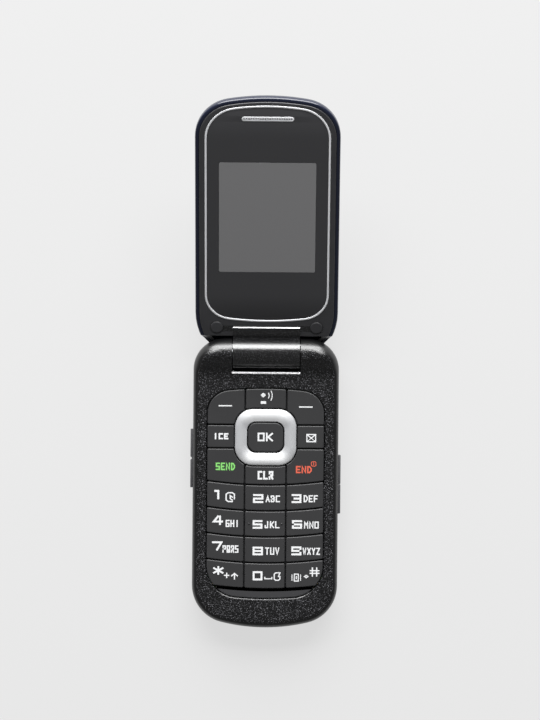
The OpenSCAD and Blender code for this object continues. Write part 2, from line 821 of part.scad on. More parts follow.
module base_screws() color([0.4, 0.4, 0.42]) for (x = [-1, 1], y = screw_ys)
  translate([x * screw_x, y, ledge_z]) {
    cylinder(r = screw_head_r, h = screw_head_t);
    cylinder(r = screw_r, h = face_under - 1.2 - ledge_z);
  }

// ---- Hinge ------------------------------------------------------------------------------

module hinge_cartridge() color([0.6, 0.6, 0.62]) in_lid() difference() {
  x_rod(-barrel_half + 0.1, cartridge_end, cartridge_r);
  x_rod(-barrel_half - 1, -barrel_half + shaft_in + 0.3, shaft_r + turn_clear);
}

module hinge_shaft() color([0.7, 0.7, 0.72]) at_axis()
  x_rod(-notch_half - pin_depth, -barrel_half + shaft_in, shaft_r);

module hinge_bush() color([0.7, 0.7, 0.72]) at_axis() difference() {
  x_rod(barrel_half - bush_in, notch_half + pin_depth, bush_r);
  x_rod(barrel_half - bush_in - 1, notch_half + pin_depth + 1, bush_bore_r);
}

module flex_cable() color([0.75, 0.45, 0.15]) in_lid() {
  difference() {
    x_rod(flex_x0, flex_x1, flex_r);
    x_rod(flex_x0 - 1, flex_x1 + 1, flex_r - flex_t);
  }
  span(flex_x0, flex_x1, 0, face_end + 3, -flex_r, -flex_r + flex_t);
  span(flex_x0, flex_x1, face_end + 3 - flex_t, face_end + 3, lid_board_z + lid_board_t,
       -flex_r + flex_t);
  x_rod(flex_x1 - 1, notch_half + pin_depth - 0.4, flex_roll_r);
  span(flex_x1 - 1, flex_x1, -flex_r + flex_t / 2, 0, -flex_t / 2, flex_t / 2);
}

// ---- Lid --------------------------------------------------------------------------------

// Share of a rounding's width that is drawn in at u, from 0 where it starts to 1 at the back
function rounding(u, n) = 1 - pow(1 - pow(u, n), 1 / n);

// Lid body with straight sides up to z1, drawn in by d, whose back is raised by up. The layers
// are [height, inset] pairs for its upper edge.
module lid_body(z1, d, up, layers) {
  shrink = up > 0 ? lid_inner_shrink : 0;
  z0 = lid_back + lid_round_h;
  hull() {
    translate([0, 0, z0]) linear_extrude(z1 - z0) polygon(lid_outline(d));
    for (l = layers) translate([0, 0, l[0]]) linear_extrude(thin) polygon(lid_outline(l[1]));
    for (u = lid_round_steps) {
      side_in = (lid_side_round - shrink) * rounding(u, 2.6);
      tip_in = (lid_tip_round - shrink) * rounding(u, 2);
      translate([0, 0, z0 - (lid_round_h - up) * u]) linear_extrude(thin)
        polygon(lid_outline(d + side_in, tip_in - side_in));
    }
  }
}

module shoulder_cove() {
  x_rod(-far / 2, far / 2, cove_r);
}

module lid_outer_cover() color([0.06, 0.08, 0.16]) in_lid() difference() {
  lid_body(lid_face - 1.0, 0, 0, [[lid_face - 0.55, 0.2], [lid_face - 0.35, 0.55]]);
  lid_body(lid_face + 1, parting_inset - fit, cover_wall, []);
  shoulder_cove();
  span(-far, far, -far, lid_cut, -far, far);
  translate([0, outer_screen_y, lid_back - 1]) linear_extrude(lid_t)
    round_rect(outer_screen_w + 2 * outer_lap + fit, outer_screen_h + 2 * outer_lap + fit,
               outer_corner_r);
  translate([0, camera_y, lid_back - 1]) cylinder(r = camera_r + fit / 2, h = 4);
}

module lid_inner_housing() color([0.11, 0.11, 0.12]) in_lid() difference() {
  union() {
    difference() {
      lid_body(lid_face - 0.3, parting_inset, cover_wall + fit,
               [[lid_face - thin, parting_inset + 0.25]]);
      difference() {
        translate([0, 0, lid_floor - 1]) linear_extrude(lid_face - face_wall - lid_floor + 1)
          polygon(lid_outline(inner_inset_lid));
        span(-barrel_half, barrel_half, -far, face_end - 1, -far, far);
        for (x = [-1, 1]) translate([x * plug_x, plug_y, lid_floor - 1])
          cylinder(r = plug_r + 0.9, h = lid_t);
      }
      shoulder_cove();
      span(-far, far, -far, lid_cut, -far, far);
    }
    x_rod(-barrel_half, barrel_half, barrel_r);
    x_prism(-barrel_half, barrel_half)
      polygon([[0, 0], [0, lid_floor + 3.2], [cove_r, lid_floor + 0.1], [neck_l, lid_floor + 0.1],
               [neck_l, neck_top], [cove_r - 1, neck_top],
               [barrel_r - 1, 0]]);
  }
  x_prism(-barrel_half, barrel_half)
    polygon([[neck_l, neck_top], [neck_l + neck_groove_l, neck_top - neck_groove_h],
             [neck_l + neck_groove_l, far], [neck_l, far]]);
  x_rod(-barrel_half - 1, cartridge_end, cartridge_r);
  x_rod(flex_x0 - 0.3, flex_x1 + 0.3, flex_bore_r);
  x_rod(flex_x1, barrel_half + 1, bush_r + turn_clear);
  span(flex_x0 - 0.2, flex_x1 + 0.2, 0, face_end + 3.3, -flex_r - 0.2, -flex_r + flex_t + 0.2);
  translate([0, 0, lid_face - panel_t]) linear_extrude(2) polygon(face_outline(-ring_line_w));
  translate([0, screen_y, -far / 2]) linear_extrude(far)
    square([screen_w + 2 * screen_clear, screen_h + 2 * screen_clear], center = true);
  translate([0, slot_y, -far / 2]) linear_extrude(far)
    round_rect(slot_l - 0.6, slot_w - 0.5, (slot_w - 0.5) / 2);
  for (x = [-1, 1]) translate([x * plug_x, plug_y, 0]) {
    translate([0, 0, lid_face - 1.4]) cylinder(r = plug_r + fit, h = 3);
    translate([0, 0, lid_face - 2.4]) cylinder(r = 1.5, h = 3);
    translate([0, 0, lid_floor - 1]) cylinder(r = screw_r + fit / 2, h = lid_t);
  }
}

module face_panel() color([0.18, 0.18, 0.19]) in_lid() difference() {
  translate([0, 0, lid_face - panel_t]) linear_extrude(panel_t) polygon(face_outline(0));
  translate([0, slot_y, lid_face - panel_t - 1]) linear_extrude(3)
    round_rect(slot_l, slot_w, slot_w / 2);
}

module silver_line() color([0.8, 0.81, 0.83]) in_lid()
  translate([0, 0, lid_face - panel_t]) linear_extrude(panel_t + line_proud) difference() {
    polygon(face_outline(-ring_line_w));
    polygon(face_outline(0));
  }

module main_display() color([0.42, 0.43, 0.44]) in_lid()
  translate([0, screen_y, display_top - display_t]) linear_extrude(display_t)
    round_rect(screen_w + 2 * display_rim, screen_h + display_chin, sim_corner_r);

module earpiece_grille() color([0.85, 0.86, 0.88]) in_lid()
  translate([0, slot_y, lid_face - panel_t]) difference() {
    linear_extrude(panel_t + line_proud) round_rect(slot_l, slot_w, slot_w / 2);
    for (i = [0:slot_holes - 1])
      translate([(i / (slot_holes - 1) - 0.5) * (slot_l - slot_w), 0, -1])
        cylinder(r = 0.22, h = 3, $fn = 16);
  }

module earpiece_speaker() color([0.3, 0.3, 0.3]) in_lid()
  translate([0, slot_y - 1, lid_face - face_wall - fit - earpiece_t]) linear_extrude(earpiece_t)
    round_rect(slot_l - 1, earpiece_l, speaker_corner_r);

module lid_board() color([0.05, 0.25, 0.12]) in_lid() difference() {
  translate([0, 0, lid_board_z]) linear_extrude(lid_board_t)
    polygon(lid_outline(inner_inset_lid + 0.3));
  span(-far, far, -far, face_end + 1.5, -far, far);
  translate([0, camera_y, lid_floor]) linear_extrude(lid_t)
    square(camera_body_w + 0.6, center = true);
}

module outer_display() color([0.1, 0.1, 0.12]) in_lid()
  translate([0, outer_screen_y, lid_floor + 0.1]) linear_extrude(1.5)
    round_rect(outer_screen_w + 4 * outer_lap, outer_screen_h + 4 * outer_lap, sim_corner_r);

module outer_window() color([0.03, 0.03, 0.05]) in_lid()
  translate([0, outer_screen_y, lid_back]) linear_extrude(cover_wall)
    round_rect(outer_screen_w + 2 * outer_lap, outer_screen_h + 2 * outer_lap, outer_corner_r);

module camera_module() color([0.2, 0.2, 0.22]) in_lid()
  translate([0, camera_y, lid_floor + 0.1]) {
    linear_extrude(camera_body_t) square(camera_body_w, center = true);
    cylinder(r = camera_r - 1, h = camera_nose_t);
  }

module camera_lens() color([0.02, 0.02, 0.03]) in_lid()
  translate([0, camera_y, lid_back]) cylinder(r = camera_r, h = cover_wall);

module lid_screws() color([0.4, 0.4, 0.42]) in_lid() for (x = [-1, 1])
  translate([x * plug_x, plug_y, 0]) {
    translate([0, 0, lid_face - 2.4]) cylinder(r = 1.3, h = 0.8);
    translate([0, 0, lid_floor + fit]) cylinder(r = screw_r, h = lid_face - 2 - lid_floor);
  }

module screw_plugs() color([0.1, 0.1, 0.11]) in_lid() for (x = [-1, 1])
  translate([x * plug_x, plug_y, lid_face - 1.4]) cylinder(r = plug_r, h = 1.4 + plug_proud);

// ---- Assembly ---------------------------------------------------------------------------

base_front_housing();
base_rear_housing();
battery_cover();
battery();
battery_contacts();
sim_sockets();
main_board();
dome_sheet();
keypad_mat();
volume_rocker();
camera_key();
port_cover();
usb_connector();
headset_jack();
microphone();
loudspeaker();
vibration_motor();
antenna();
base_screws();
softkey_left();
softkey_right();
voice_key();
ice_key();
message_key();
send_key();
clear_key();
end_key();
ok_key();
nav_carrier();
nav_ring();
digit_key(1);  // key_1
digit_key(2);  // key_2
digit_key(3);  // key_3
digit_key(4);  // key_4
digit_key(5);  // key_5
digit_key(6);  // key_6
digit_key(7);  // key_7
digit_key(8);  // key_8
digit_key(9);  // key_9
digit_key(10);  // key_star
digit_key(11);  // key_0
digit_key(12);  // key_hash
lid_inner_housing();
lid_outer_cover();
face_panel();
silver_line();
main_display();
earpiece_grille();
earpiece_speaker();
lid_board();
outer_window();
outer_display();
camera_module();
camera_lens();
lid_screws();
screw_plugs();
hinge_cartridge();
hinge_shaft();
hinge_bush();
flex_cable();
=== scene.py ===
import json
import math

import bmesh
import bpy
from mathutils import Matrix, Vector


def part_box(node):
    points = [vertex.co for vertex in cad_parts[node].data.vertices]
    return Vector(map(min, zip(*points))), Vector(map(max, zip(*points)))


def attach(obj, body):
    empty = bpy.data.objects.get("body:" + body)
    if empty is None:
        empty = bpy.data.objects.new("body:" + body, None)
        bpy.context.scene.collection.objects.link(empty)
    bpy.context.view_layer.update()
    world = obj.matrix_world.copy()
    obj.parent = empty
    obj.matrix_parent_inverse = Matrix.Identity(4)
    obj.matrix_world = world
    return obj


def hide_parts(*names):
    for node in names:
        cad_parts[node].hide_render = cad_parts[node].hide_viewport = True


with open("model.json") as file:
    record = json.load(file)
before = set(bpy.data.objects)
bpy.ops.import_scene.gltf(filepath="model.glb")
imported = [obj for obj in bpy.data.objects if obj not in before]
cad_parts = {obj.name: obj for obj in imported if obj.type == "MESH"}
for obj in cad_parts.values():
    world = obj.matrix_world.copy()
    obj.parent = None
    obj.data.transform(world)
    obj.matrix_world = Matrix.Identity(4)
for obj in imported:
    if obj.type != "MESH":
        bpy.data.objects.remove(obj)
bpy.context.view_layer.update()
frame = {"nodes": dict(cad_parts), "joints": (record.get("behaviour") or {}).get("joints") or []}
mm = 0.001

# ---- Base front housing ----------------------------------------------------------------------
# The moulded black shell round the keypad, with the two round shoulders that carry the hinge.
# Its face has a fine sparkling grain, and a smooth band runs round the edge. One injection
# moulding in glass-filled plastic.

base_low, base_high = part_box("base_front_housing")
half_w = base_high.x
tail_y = base_low.y
nose_y = base_high.y
split_z = base_low.z
hinge = next(j for j in frame["joints"] if j["name"] == "lid_hinge")
axis_y, axis_z = hinge["pos_m"][1], hinge["pos_m"][2]
keypad_low, keypad_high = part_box("keypad_mat")
base_t = 9.8 * mm
face_t = 1.2 * mm
base_crown = 62 * mm
base_corner = 13 * mm
shoulder_crown = 400 * mm
shoulder_corner = 10.5 * mm
barrel_r = nose_y - axis_y
edge_r = 2.4 * mm
hump_l = 7.5 * mm
smooth_band = 2.0 * mm
notch_half = 11.6 * mm
notch_clear = 0.35 * mm
lip_r = 1.5 * mm
lip_reach = 1.45 * mm
keypad_half = 19.9 * mm
keypad_top_y = axis_y - 11.7 * mm
keypad_end_y = keypad_low.y - 0.6 * mm
rim_chamfer = 0.35 * mm
slab_back = 0.4 * mm
slab_end = axis_y - slab_back
cut_reach = 30 * mm
far = 40 * mm


def half_end(half, crown, corner, d, corner_steps=14, crown_steps=12):
    """Plan points from the side to the middle of a crowned end whose tip is at y = 0."""
    xk = half - corner
    yk = math.sqrt((crown - corner) ** 2 - xk * xk) - crown
    turn = math.atan2(yk + crown, xk)
    r = max(corner - d, 0.01 * mm)
    points = []
    for i in range(corner_steps):
        a = turn * i / corner_steps
        points.append((xk + r * math.cos(a), yk + r * math.sin(a)))
    for i in range(crown_steps + 1):
        a = turn + (math.pi / 2 - turn) * i / crown_steps
        points.append(((crown - d) * math.cos(a), (crown - d) * math.sin(a) - crown))
    return points


def outline(half, low, high, d=0.0, side_steps=60):
    """Closed plan of two crowned ends, (y, crown, corner) each, drawn in by d. Anticlockwise
    from the middle of the low end, with the left half the mirror of the right."""
    bottom = [(x, low[0] - y) for x, y in reversed(half_end(half, low[1], low[2], d))]
    top = [(x, high[0] + y) for x, y in half_end(half, high[1], high[2], d)]
    a, b = bottom[-1], top[0]
    side = [
        (a[0] + (b[0] - a[0]) * i / side_steps, a[1] + (b[1] - a[1]) * i / side_steps)
        for i in range(1, side_steps)
    ]
    right = bottom + side + top
    right[0] = (0.0, right[0][1])
    right[-1] = (0.0, right[-1][1])
    return right + [(-x, y) for x, y in reversed(right[1:-1])]


def mesh_piece(name, verts, faces, material=None):
    mesh = bpy.data.meshes.new(name)
    mesh.from_pydata([tuple(v) for v in verts], [], faces)
    mesh.validate()
    piece = bpy.data.objects.new(name, mesh)
    bpy.context.collection.objects.link(piece)
    if material:
        mesh.materials.append(material)
    return piece


def strips(first, n, up):
    """Faces that fill a mirrored ring of n points between its right and left halves."""
    half = n // 2
    faces = []
    for i in range(half):
        ring = [first + i, first + i + 1]
        if i + 1 < half:
            ring.append(first + n - i - 1)
        if i > 0:
            ring.append(first + n - i)
        faces.append(ring if up else ring[::-1])
    return faces


def loft(name, rings, material=None):
    """Closed piece through rings of (x, y, z) points, each a mirrored outline, lowest first."""
    n = len(rings[0])
    verts = [p for ring in rings for p in ring]
    faces = strips(0, n, False)
    for k in range(len(rings) - 1):
        for i in range(n):
            j = (i + 1) % n
            faces.append([k * n + i, k * n + j, (k + 1) * n + j, (k + 1) * n + i])
    faces += strips((len(rings) - 1) * n, n, True)
    return mesh_piece(name, verts, faces, material)


def level(plan, z):
    return [(x, y, z) for x, y in plan]


def prism(name, profile, x0, x1):
    """Profile of (y, z) points, anticlockwise seen from +X, stretched along X."""
    n = len(profile)
    verts = [(x0, y, z) for y, z in profile] + [(x1, y, z) for y, z in profile]
    faces = [list(range(n - 1, -1, -1)), list(range(n, 2 * n))]
    faces += [[i, (i + 1) % n, n + (i + 1) % n, n + i] for i in range(n)]
    return mesh_piece(name, verts, faces)


def rod(name, a, b, r, steps=64):
    """Round bar between two points."""
    a, b = Vector(a), Vector(b)
    axis = (b - a).normalized()
    side = axis.orthogonal().normalized()
    other = axis.cross(side)
    ring = [
        side * (r * math.cos(t)) + other * (r * math.sin(t))
        for t in (2 * math.pi * i / steps for i in range(steps))
    ]
    verts = [a + p for p in ring] + [b + p for p in ring]
    faces = [list(range(steps - 1, -1, -1)), list(range(steps, 2 * steps))]
    faces += [[i, (i + 1) % steps, steps + (i + 1) % steps, steps + i] for i in range(steps)]
    return mesh_piece(name, verts, faces)


def combine(piece, others, operation="DIFFERENCE"):
    """Cuts, joins or intersects the others with the piece, and clears them away."""
    for other in others:
        step = piece.modifiers.new("step", "BOOLEAN")
        step.operation = operation
        step.object = other
        step.solver = "MANIFOLD"
    bpy.context.view_layer.update()
    graph = bpy.context.evaluated_depsgraph_get()
    mesh = bpy.data.meshes.new_from_object(piece.evaluated_get(graph))
    piece.modifiers.clear()
    old = piece.data
    piece.data = mesh
    bpy.data.meshes.remove(old)
    for k in range(len(mesh.materials) - 1, 0, -1):
        if mesh.materials[k] is None:
            mesh.materials.pop(index=k)
    for other in others:
        bpy.data.objects.remove(other, do_unlink=True)
    return piece


def shade(piece, angle=30):
    piece.data.shade_smooth()
    piece.data.set_sharp_from_angle(angle=math.radians(angle))
    return piece


def base_plan(d):
    low = (tail_y, base_crown, base_corner)
    high = (nose_y, shoulder_crown, shoulder_corner)
    return outline(half_w, low, high, d)


def keypad_plan(d):
    low = (keypad_end_y, 110 * mm, 11 * mm)
    high = (keypad_top_y, 115 * mm, 8 * mm)
    return outline(keypad_half, low, high, d)


def top_height(y):
    """Height of the face, which swells into the shoulders' round nose near the hinge."""
    crest = axis_z + barrel_r
    t = min(max((axis_y - y) / hump_l, 0.0), 1.0)
    return base_t + (crest - base_t) * (1 + math.cos(math.pi * t)) / 2


def face_ring(d):
    """Ring of the top surface, drawn in by d, on the rounded edge."""
    ring = []
    for (x, y), (_, y0) in zip(base_plan(d), base_plan(0)):
        top = top_height(y)
        swell = (top - base_t) / (axis_z + barrel_r - base_t)
        r = edge_r + (barrel_r - edge_r) * swell
        drop = r - math.sqrt(max(r * r - max(r - d, 0.0) ** 2, 0.0))
        ring.append((x, y, top - drop))
    return ring


def shoulder_profile():
    """Side view of what the front housing may fill: the slab, and the nose round the axis."""
    points = [(tail_y - 10 * mm, split_z), (slab_end, split_z)]
    start = -math.acos(-slab_back / barrel_r)
    for i in range(41):
        a = start + (math.pi / 2 - start) * i / 40
        points.append((axis_y + barrel_r * math.cos(a), axis_z + barrel_r * math.sin(a)))
    points += [(axis_y, far), (tail_y - 10 * mm, far)]
    return points


def block(name, x0, x1, y0, y1, z0, z1):
    """Plain block, used as a cutter."""
    return prism(name, [(y0, z0), (y1, z0), (y1, z1), (y0, z1)], x0, x1)


def within(plan, x, y):
    """Whether a point lies inside a closed plan."""
    hit = False
    for (ax, ay), (bx, by) in zip(plan, plan[1:] + plan[:1]):
        if (ay > y) != (by > y) and x < ax + (bx - ax) * (y - ay) / (by - ay):
            hit = not hit
    return hit


def srgb(red, green, blue):
    """Linear colour of a screen colour whose parts run from 0 to 255."""
    parts = [c / 255 for c in (red, green, blue)]
    return [c / 12.92 if c < 0.04045 else ((c + 0.055) / 1.055) ** 2.4 for c in parts] + [1]


def put(tree, kind, inputs=(), **settings):
    """Adds a node with its settings, and sets or links its inputs by name or number."""
    node = tree.nodes.new(kind)
    for name, value in settings.items():
        setattr(node, name, value)
    for key, value in dict(inputs).items():
        if isinstance(value, bpy.types.NodeSocket):
            tree.links.new(value, node.inputs[key])
        else:
            node.inputs[key].default_value = value
    return node


def effect(name, inputs):
    """Empty shader node group for colour, roughness and height. Returns it with its input
    sockets and its output node."""
    tree = bpy.data.node_groups.new(name, "ShaderNodeTree")
    kinds = {"colour": "NodeSocketColor", "value": "NodeSocketFloat"}
    for label, (kind, start) in inputs.items():
        socket = tree.interface.new_socket(name=label, in_out="INPUT", socket_type=kinds[kind])
        socket.default_value = start
    for label, kind in (("Color", "colour"), ("Roughness", "value"), ("Height", "value")):
        tree.interface.new_socket(name=label, in_out="OUTPUT", socket_type=kinds[kind])
    given = tree.nodes.new("NodeGroupInput").outputs
    return tree, given, tree.nodes.new("NodeGroupOutput")


def give(tree, out, colour, roughness, height):
    """Links what an effect works out to its three outputs."""
    for label, socket in (("Color", colour), ("Roughness", roughness), ("Height", height)):
        tree.links.new(socket, out.inputs[label])


def finish(name, skin, values, relief, **shader):
    """Material whose colour, roughness and relief come from one effect."""
    material = bpy.data.materials.new(name)
    material.use_nodes = True
    tree = material.node_tree
    look = put(tree, "ShaderNodeGroup", node_tree=skin)
    for label, value in values.items():
        look.inputs[label].default_value = value
    bump = put(tree, "ShaderNodeBump", {"Height": look.outputs["Height"], "Distance": relief})
    face = tree.nodes["Principled BSDF"]
    tree.links.new(look.outputs["Color"], face.inputs["Base Color"])
    tree.links.new(look.outputs["Roughness"], face.inputs["Roughness"])
    tree.links.new(bump.outputs["Normal"], face.inputs["Normal"])
    for label, value in shader.items():
        face.inputs[label.replace("_", " ")].default_value = value
    return material


# Moulded texture: fine pits and peaks, with a share of bright flecks where they catch the light
grain, given, out = effect(
    "moulded_grain",
    {
        "Base": ("colour", (0.01, 0.01, 0.01, 1)),
        "Fleck": ("colour", (0.1, 0.1, 0.1, 1)),
        "Size": ("value", 3000),
        "Flecks": ("value", 0.5),
        "Rough": ("value", 0.5),
    },
)
place = put(grain, "ShaderNodeTexCoord").outputs["Object"]
pits = put(grain, "ShaderNodeTexNoise", {"Vector": place, "Scale": given["Size"], "Detail": 2})
finer = put(grain, "ShaderNodeMath", {0: given["Size"], 1: 1.6}, operation="MULTIPLY")
peaks = put(grain, "ShaderNodeTexNoise", {"Vector": place, "Scale": finer.outputs[0], "Detail": 1})
bright = put(
    grain, "ShaderNodeMapRange",
    {"Value": peaks.outputs["Fac"], "From Min": 0.62, "From Max": 0.7, "To Max": given["Flecks"]},
)
cloud = put(grain, "ShaderNodeTexNoise", {"Vector": place, "Scale": 90, "Detail": 2})
shift = put(
    grain, "ShaderNodeMapRange",
    {"Value": cloud.outputs["Fac"], "From Min": 0.3, "From Max": 0.7,
     "To Min": 0.88, "To Max": 1.12},
)
tone = put(grain, "ShaderNodeVectorMath", {0: given["Base"], "Scale": shift.outputs[0]},
           operation="SCALE")
mixed = put(
    grain, "ShaderNodeMix", {0: bright.outputs[0], 6: tone.outputs[0], 7: given["Fleck"]},
    data_type="RGBA",
)
rough = put(grain, "ShaderNodeMath", {0: pits.outputs["Fac"], 1: 0.2, 2: given["Rough"]},
            operation="MULTIPLY_ADD")
give(grain, out, mixed.outputs[2], rough.outputs[0], pits.outputs["Fac"])

# Smooth moulding: faint flow clouds, the odd dust speck and a slightly uneven gloss
skin, given, out = effect(
    "smooth_skin",
    {
        "Base": ("colour", (0.01, 0.01, 0.01, 1)),
        "Dust": ("colour", (0.1, 0.1, 0.1, 1)),
        "Dusty": ("value", 0.3),
        "Rough": ("value", 0.3),
        "Uneven": ("value", 0.1),
        "Fine": ("value", 2500),
    },
)
place = put(skin, "ShaderNodeTexCoord").outputs["Object"]
micro = put(skin, "ShaderNodeTexNoise", {"Vector": place, "Scale": given["Fine"], "Detail": 2})
cloud = put(skin, "ShaderNodeTexNoise", {"Vector": place, "Scale": 70, "Detail": 3})
specks = put(skin, "ShaderNodeTexVoronoi", {"Vector": place, "Scale": 700})
near = put(
    skin, "ShaderNodeMapRange",
    {"Value": specks.outputs["Distance"], "From Min": 0.04, "From Max": 0.1,
     "To Min": 1, "To Max": 0},
)
some = put(skin, "ShaderNodeMapRange",
           {"Value": cloud.outputs["Fac"], "From Min": 0.5, "From Max": 0.65})
dusty = put(skin, "ShaderNodeMath", {0: near.outputs[0], 1: some.outputs[0]}, operation="MULTIPLY")
share = put(skin, "ShaderNodeMath", {0: dusty.outputs[0], 1: given["Dusty"]}, operation="MULTIPLY")
mixed = put(
    skin, "ShaderNodeMix", {0: share.outputs[0], 6: given["Base"], 7: given["Dust"]},
    data_type="RGBA",
)
spread = put(skin, "ShaderNodeMath", {0: cloud.outputs["Fac"], 1: 0.5}, operation="SUBTRACT")
rough = put(skin, "ShaderNodeMath", {0: spread.outputs[0], 1: given["Uneven"], 2: given["Rough"]},
            operation="MULTIPLY_ADD")
give(skin, out, mixed.outputs[2], rough.outputs[0], micro.outputs["Fac"])

grained_black = finish(
    "grained_black", grain,
    {"Base": srgb(6, 6, 7), "Fleck": srgb(120, 120, 124), "Size": 2400, "Flecks": 0.9,
     "Rough": 0.18},
    0.05 * mm, Specular_IOR_Level=0.7,
)
smooth_black = finish(
    "smooth_black", skin,
    {"Base": srgb(6, 6, 7), "Dust": srgb(100, 100, 102), "Rough": 0.3, "Fine": 5000},
    0.006 * mm, Specular_IOR_Level=0.8,
)
socket_plastic = finish(
    "socket_plastic", skin,
    {"Base": srgb(26, 26, 27), "Dust": srgb(110, 110, 112), "Rough": 0.5, "Fine": 4000},
    0.01 * mm,
)

insets = [barrel_r * (1 - math.cos(math.radians(a))) for a in range(0, 91, 9)]
bottom = axis_z - barrel_r
front = loft(
    "front_shell",
    [level(base_plan(0), bottom)] + [face_ring(d) for d in insets],
)
front.data.materials.append(grained_black)
front.data.materials.append(smooth_black)
combine(front, [prism("cut", shoulder_profile(), -cut_reach, cut_reach)], "INTERSECT")
opening = loft(
    "opening",
    [
        level(keypad_plan(0), base_t - 5 * mm),
        level(keypad_plan(0), base_t - rim_chamfer),
        level(keypad_plan(-rim_chamfer), base_t),
        level(keypad_plan(-rim_chamfer), base_t + 5 * mm),
    ],
)
notch_y = axis_y - barrel_r - notch_clear
notch_floor = bottom - 0.5 * mm


# Edge of the hinge notch and of the neck: paler and smoother than the grain around it, a painted
# highlight in place of the lamp's glint there
rubbed_edge = finish(
    "rubbed_edge", skin,
    {"Base": srgb(228, 228, 230), "Dust": srgb(120, 120, 120), "Rough": 0.3, "Fine": 5000},
    0.004 * mm, Metallic=0.35,
)


def notch(half):
    """Cutter for the space between the shoulders, with the broadly rounded lip."""
    side = [(notch_y, notch_floor), (nose_y + 5 * mm, notch_floor), (nose_y + 5 * mm, 30 * mm),
            (notch_y - lip_reach, 30 * mm)]
    for i in range(13):
        a = math.asin(lip_reach / lip_r) * i / 12
        side.append((notch_y - lip_reach + lip_r * math.sin(a), base_t - lip_r * (1 - math.cos(a))))
    return prism("notch", side, -half, half)


inner_inset = 1.8 * mm
shoulder_y = axis_y - 9 * mm
hollow = loft("hollow", [level(base_plan(inner_inset), split_z - 2 * mm),
                         level(base_plan(inner_inset), base_t - face_t)])
combine(hollow, [block("end", -cut_reach, cut_reach, shoulder_y, nose_y + 9 * mm, 0, 20 * mm)])
side_z = 5.5 * mm
side_key_h = 2.6 * mm
slide_gap = 0.15 * mm


flange = 0.6 * mm


def side_slot(side, y0, y1):
    """Cutter for the slot in the side wall that the side pieces show through."""
    x = (half_w - 3 * mm, half_w + 5 * mm) if side > 0 else (-half_w - 5 * mm, 3 * mm - half_w)
    h = side_key_h / 2 + slide_gap
    return block("slot", x[0], x[1], y0 - slide_gap, y1 + slide_gap, side_z - h, side_z + h)


jack_low, jack_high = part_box("headset_jack")
jack_y, jack_z = (jack_low.y + jack_high.y) / 2, (jack_low.z + jack_high.z) / 2


def jack_hole():
    return rod("jack_hole", (-half_w - 1 * mm, jack_y, jack_z), (-half_w + 4 * mm, jack_y, jack_z),
               2.5 * mm)


cuts = [hollow, opening, notch(notch_half), jack_hole()]
for side, pin_r in ((-1, 1.9 * mm), (1, 2.7 * mm)):
    cuts.append(rod("bore", (side * (notch_half - 1 * mm), axis_y, axis_z),
                    (side * (notch_half + 5 * mm), axis_y, axis_z), pin_r))
rocker_low, rocker_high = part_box("volume_rocker")
cuts.append(side_slot(-1, rocker_low.y + flange, rocker_high.y - flange))
cuts.append(side_slot(1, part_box("port_cover")[0].y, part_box("camera_key")[1].y - flange))
combine(front, cuts)
front.data.materials.append(rubbed_edge)
band = base_plan(smooth_band)
for face in front.data.polygons:
    x, y, z = face.center
    on_nose = y > axis_y + 2.2 * mm
    if not within(band, x, y) and z < top_height(y) - 0.1 * mm or z < base_t - face_t or on_nose:
        face.material_index = 1
    # Faces on the notch's rounded lip take the painted highlight
    on_lip = abs(x) < 12 * mm and -7.0 * mm < y - axis_y < -6.1 * mm
    if on_lip and base_t - lip_r < z < base_t - 0.01 * mm:
        face.material_index = 2
shade(front)
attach(front, "base")
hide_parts("base_front_housing")

# ---- Base rear housing -----------------------------------------------------------------------
# The back half of the base: one black moulding with the battery bay, the SIM pocket, the
# loudspeaker slots and four screw posts. It meets the front housing in a fine line all round.

ledge_z = 1.15 * mm
floor_z = 1.8 * mm
cover_half = half_w - 1.3 * mm
cover_end_y = axis_y - 21.5 * mm
heel_r = 3.2 * mm
screw_x = 21.7 * mm
screw_ys = (axis_y - 7.5 * mm, tail_y + 15.5 * mm)
battery_low, battery_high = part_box("battery")
sim_low, sim_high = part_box("sim_sockets")
speaker_low, speaker_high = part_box("loudspeaker")


def back_form(name):
    """The base's lower half as one solid, with its rounded edge and its heel."""
    rings = []
    for a in range(90, -1, -9):
        d = edge_r * (1 - math.cos(math.radians(a)))
        rings.append(level(base_plan(d), edge_r * (1 - math.sin(math.radians(a)))))
    form = loft(name, rings + [level(base_plan(0), split_z)], smooth_black)
    side = [(tail_y - 9 * mm, -1 * mm), (slab_end - heel_r, -1 * mm)]
    for a in range(-90, 1, 6):
        t = math.radians(a)
        side.append((slab_end - heel_r + heel_r * math.cos(t), heel_r + heel_r * math.sin(t)))
    side += [(slab_end, 20 * mm), (tail_y - 9 * mm, 20 * mm)]
    return combine(form, [prism("side", side, -far, far)], "INTERSECT")


rear = back_form("rear_shell")
inside = loft("inside", [level(base_plan(inner_inset), floor_z),
                         level(base_plan(inner_inset), 20 * mm)])
combine(inside, [block("end", -cut_reach, cut_reach, shoulder_y, nose_y + 9 * mm, 0, 30 * mm)])
bay = [battery_low.x - 0.3 * mm, battery_high.x + 0.3 * mm, battery_low.y - 0.3 * mm,
       battery_high.y + 0.3 * mm]
bay_roof = battery_high.z + 0.2 * mm
combine(inside, [block("bay_walls", bay[0] - 0.8 * mm, bay[1] + 0.8 * mm, bay[2] - 0.8 * mm,
                       bay[3] + 0.8 * mm, 0, bay_roof + 0.6 * mm),
                 block("sim_walls", -16 * mm, 16 * mm, sim_low.y - 0.8 * mm, sim_high.y + 0.8 * mm,
                       0, sim_high.z + 0.8 * mm)])
posts = [rod("post", (s * screw_x, y, 0), (s * screw_x, y, 4 * mm), 2.1 * mm, 32)
         for s in (-1, 1) for y in screw_ys]
combine(inside, posts)
cuts = [inside, notch(notch_half), jack_hole()]
cuts.append(block("cover_seat", -cover_half, cover_half, tail_y - 9 * mm, cover_end_y,
                  -1 * mm, ledge_z))
cuts.append(block("bay", *bay, 0, bay_roof))
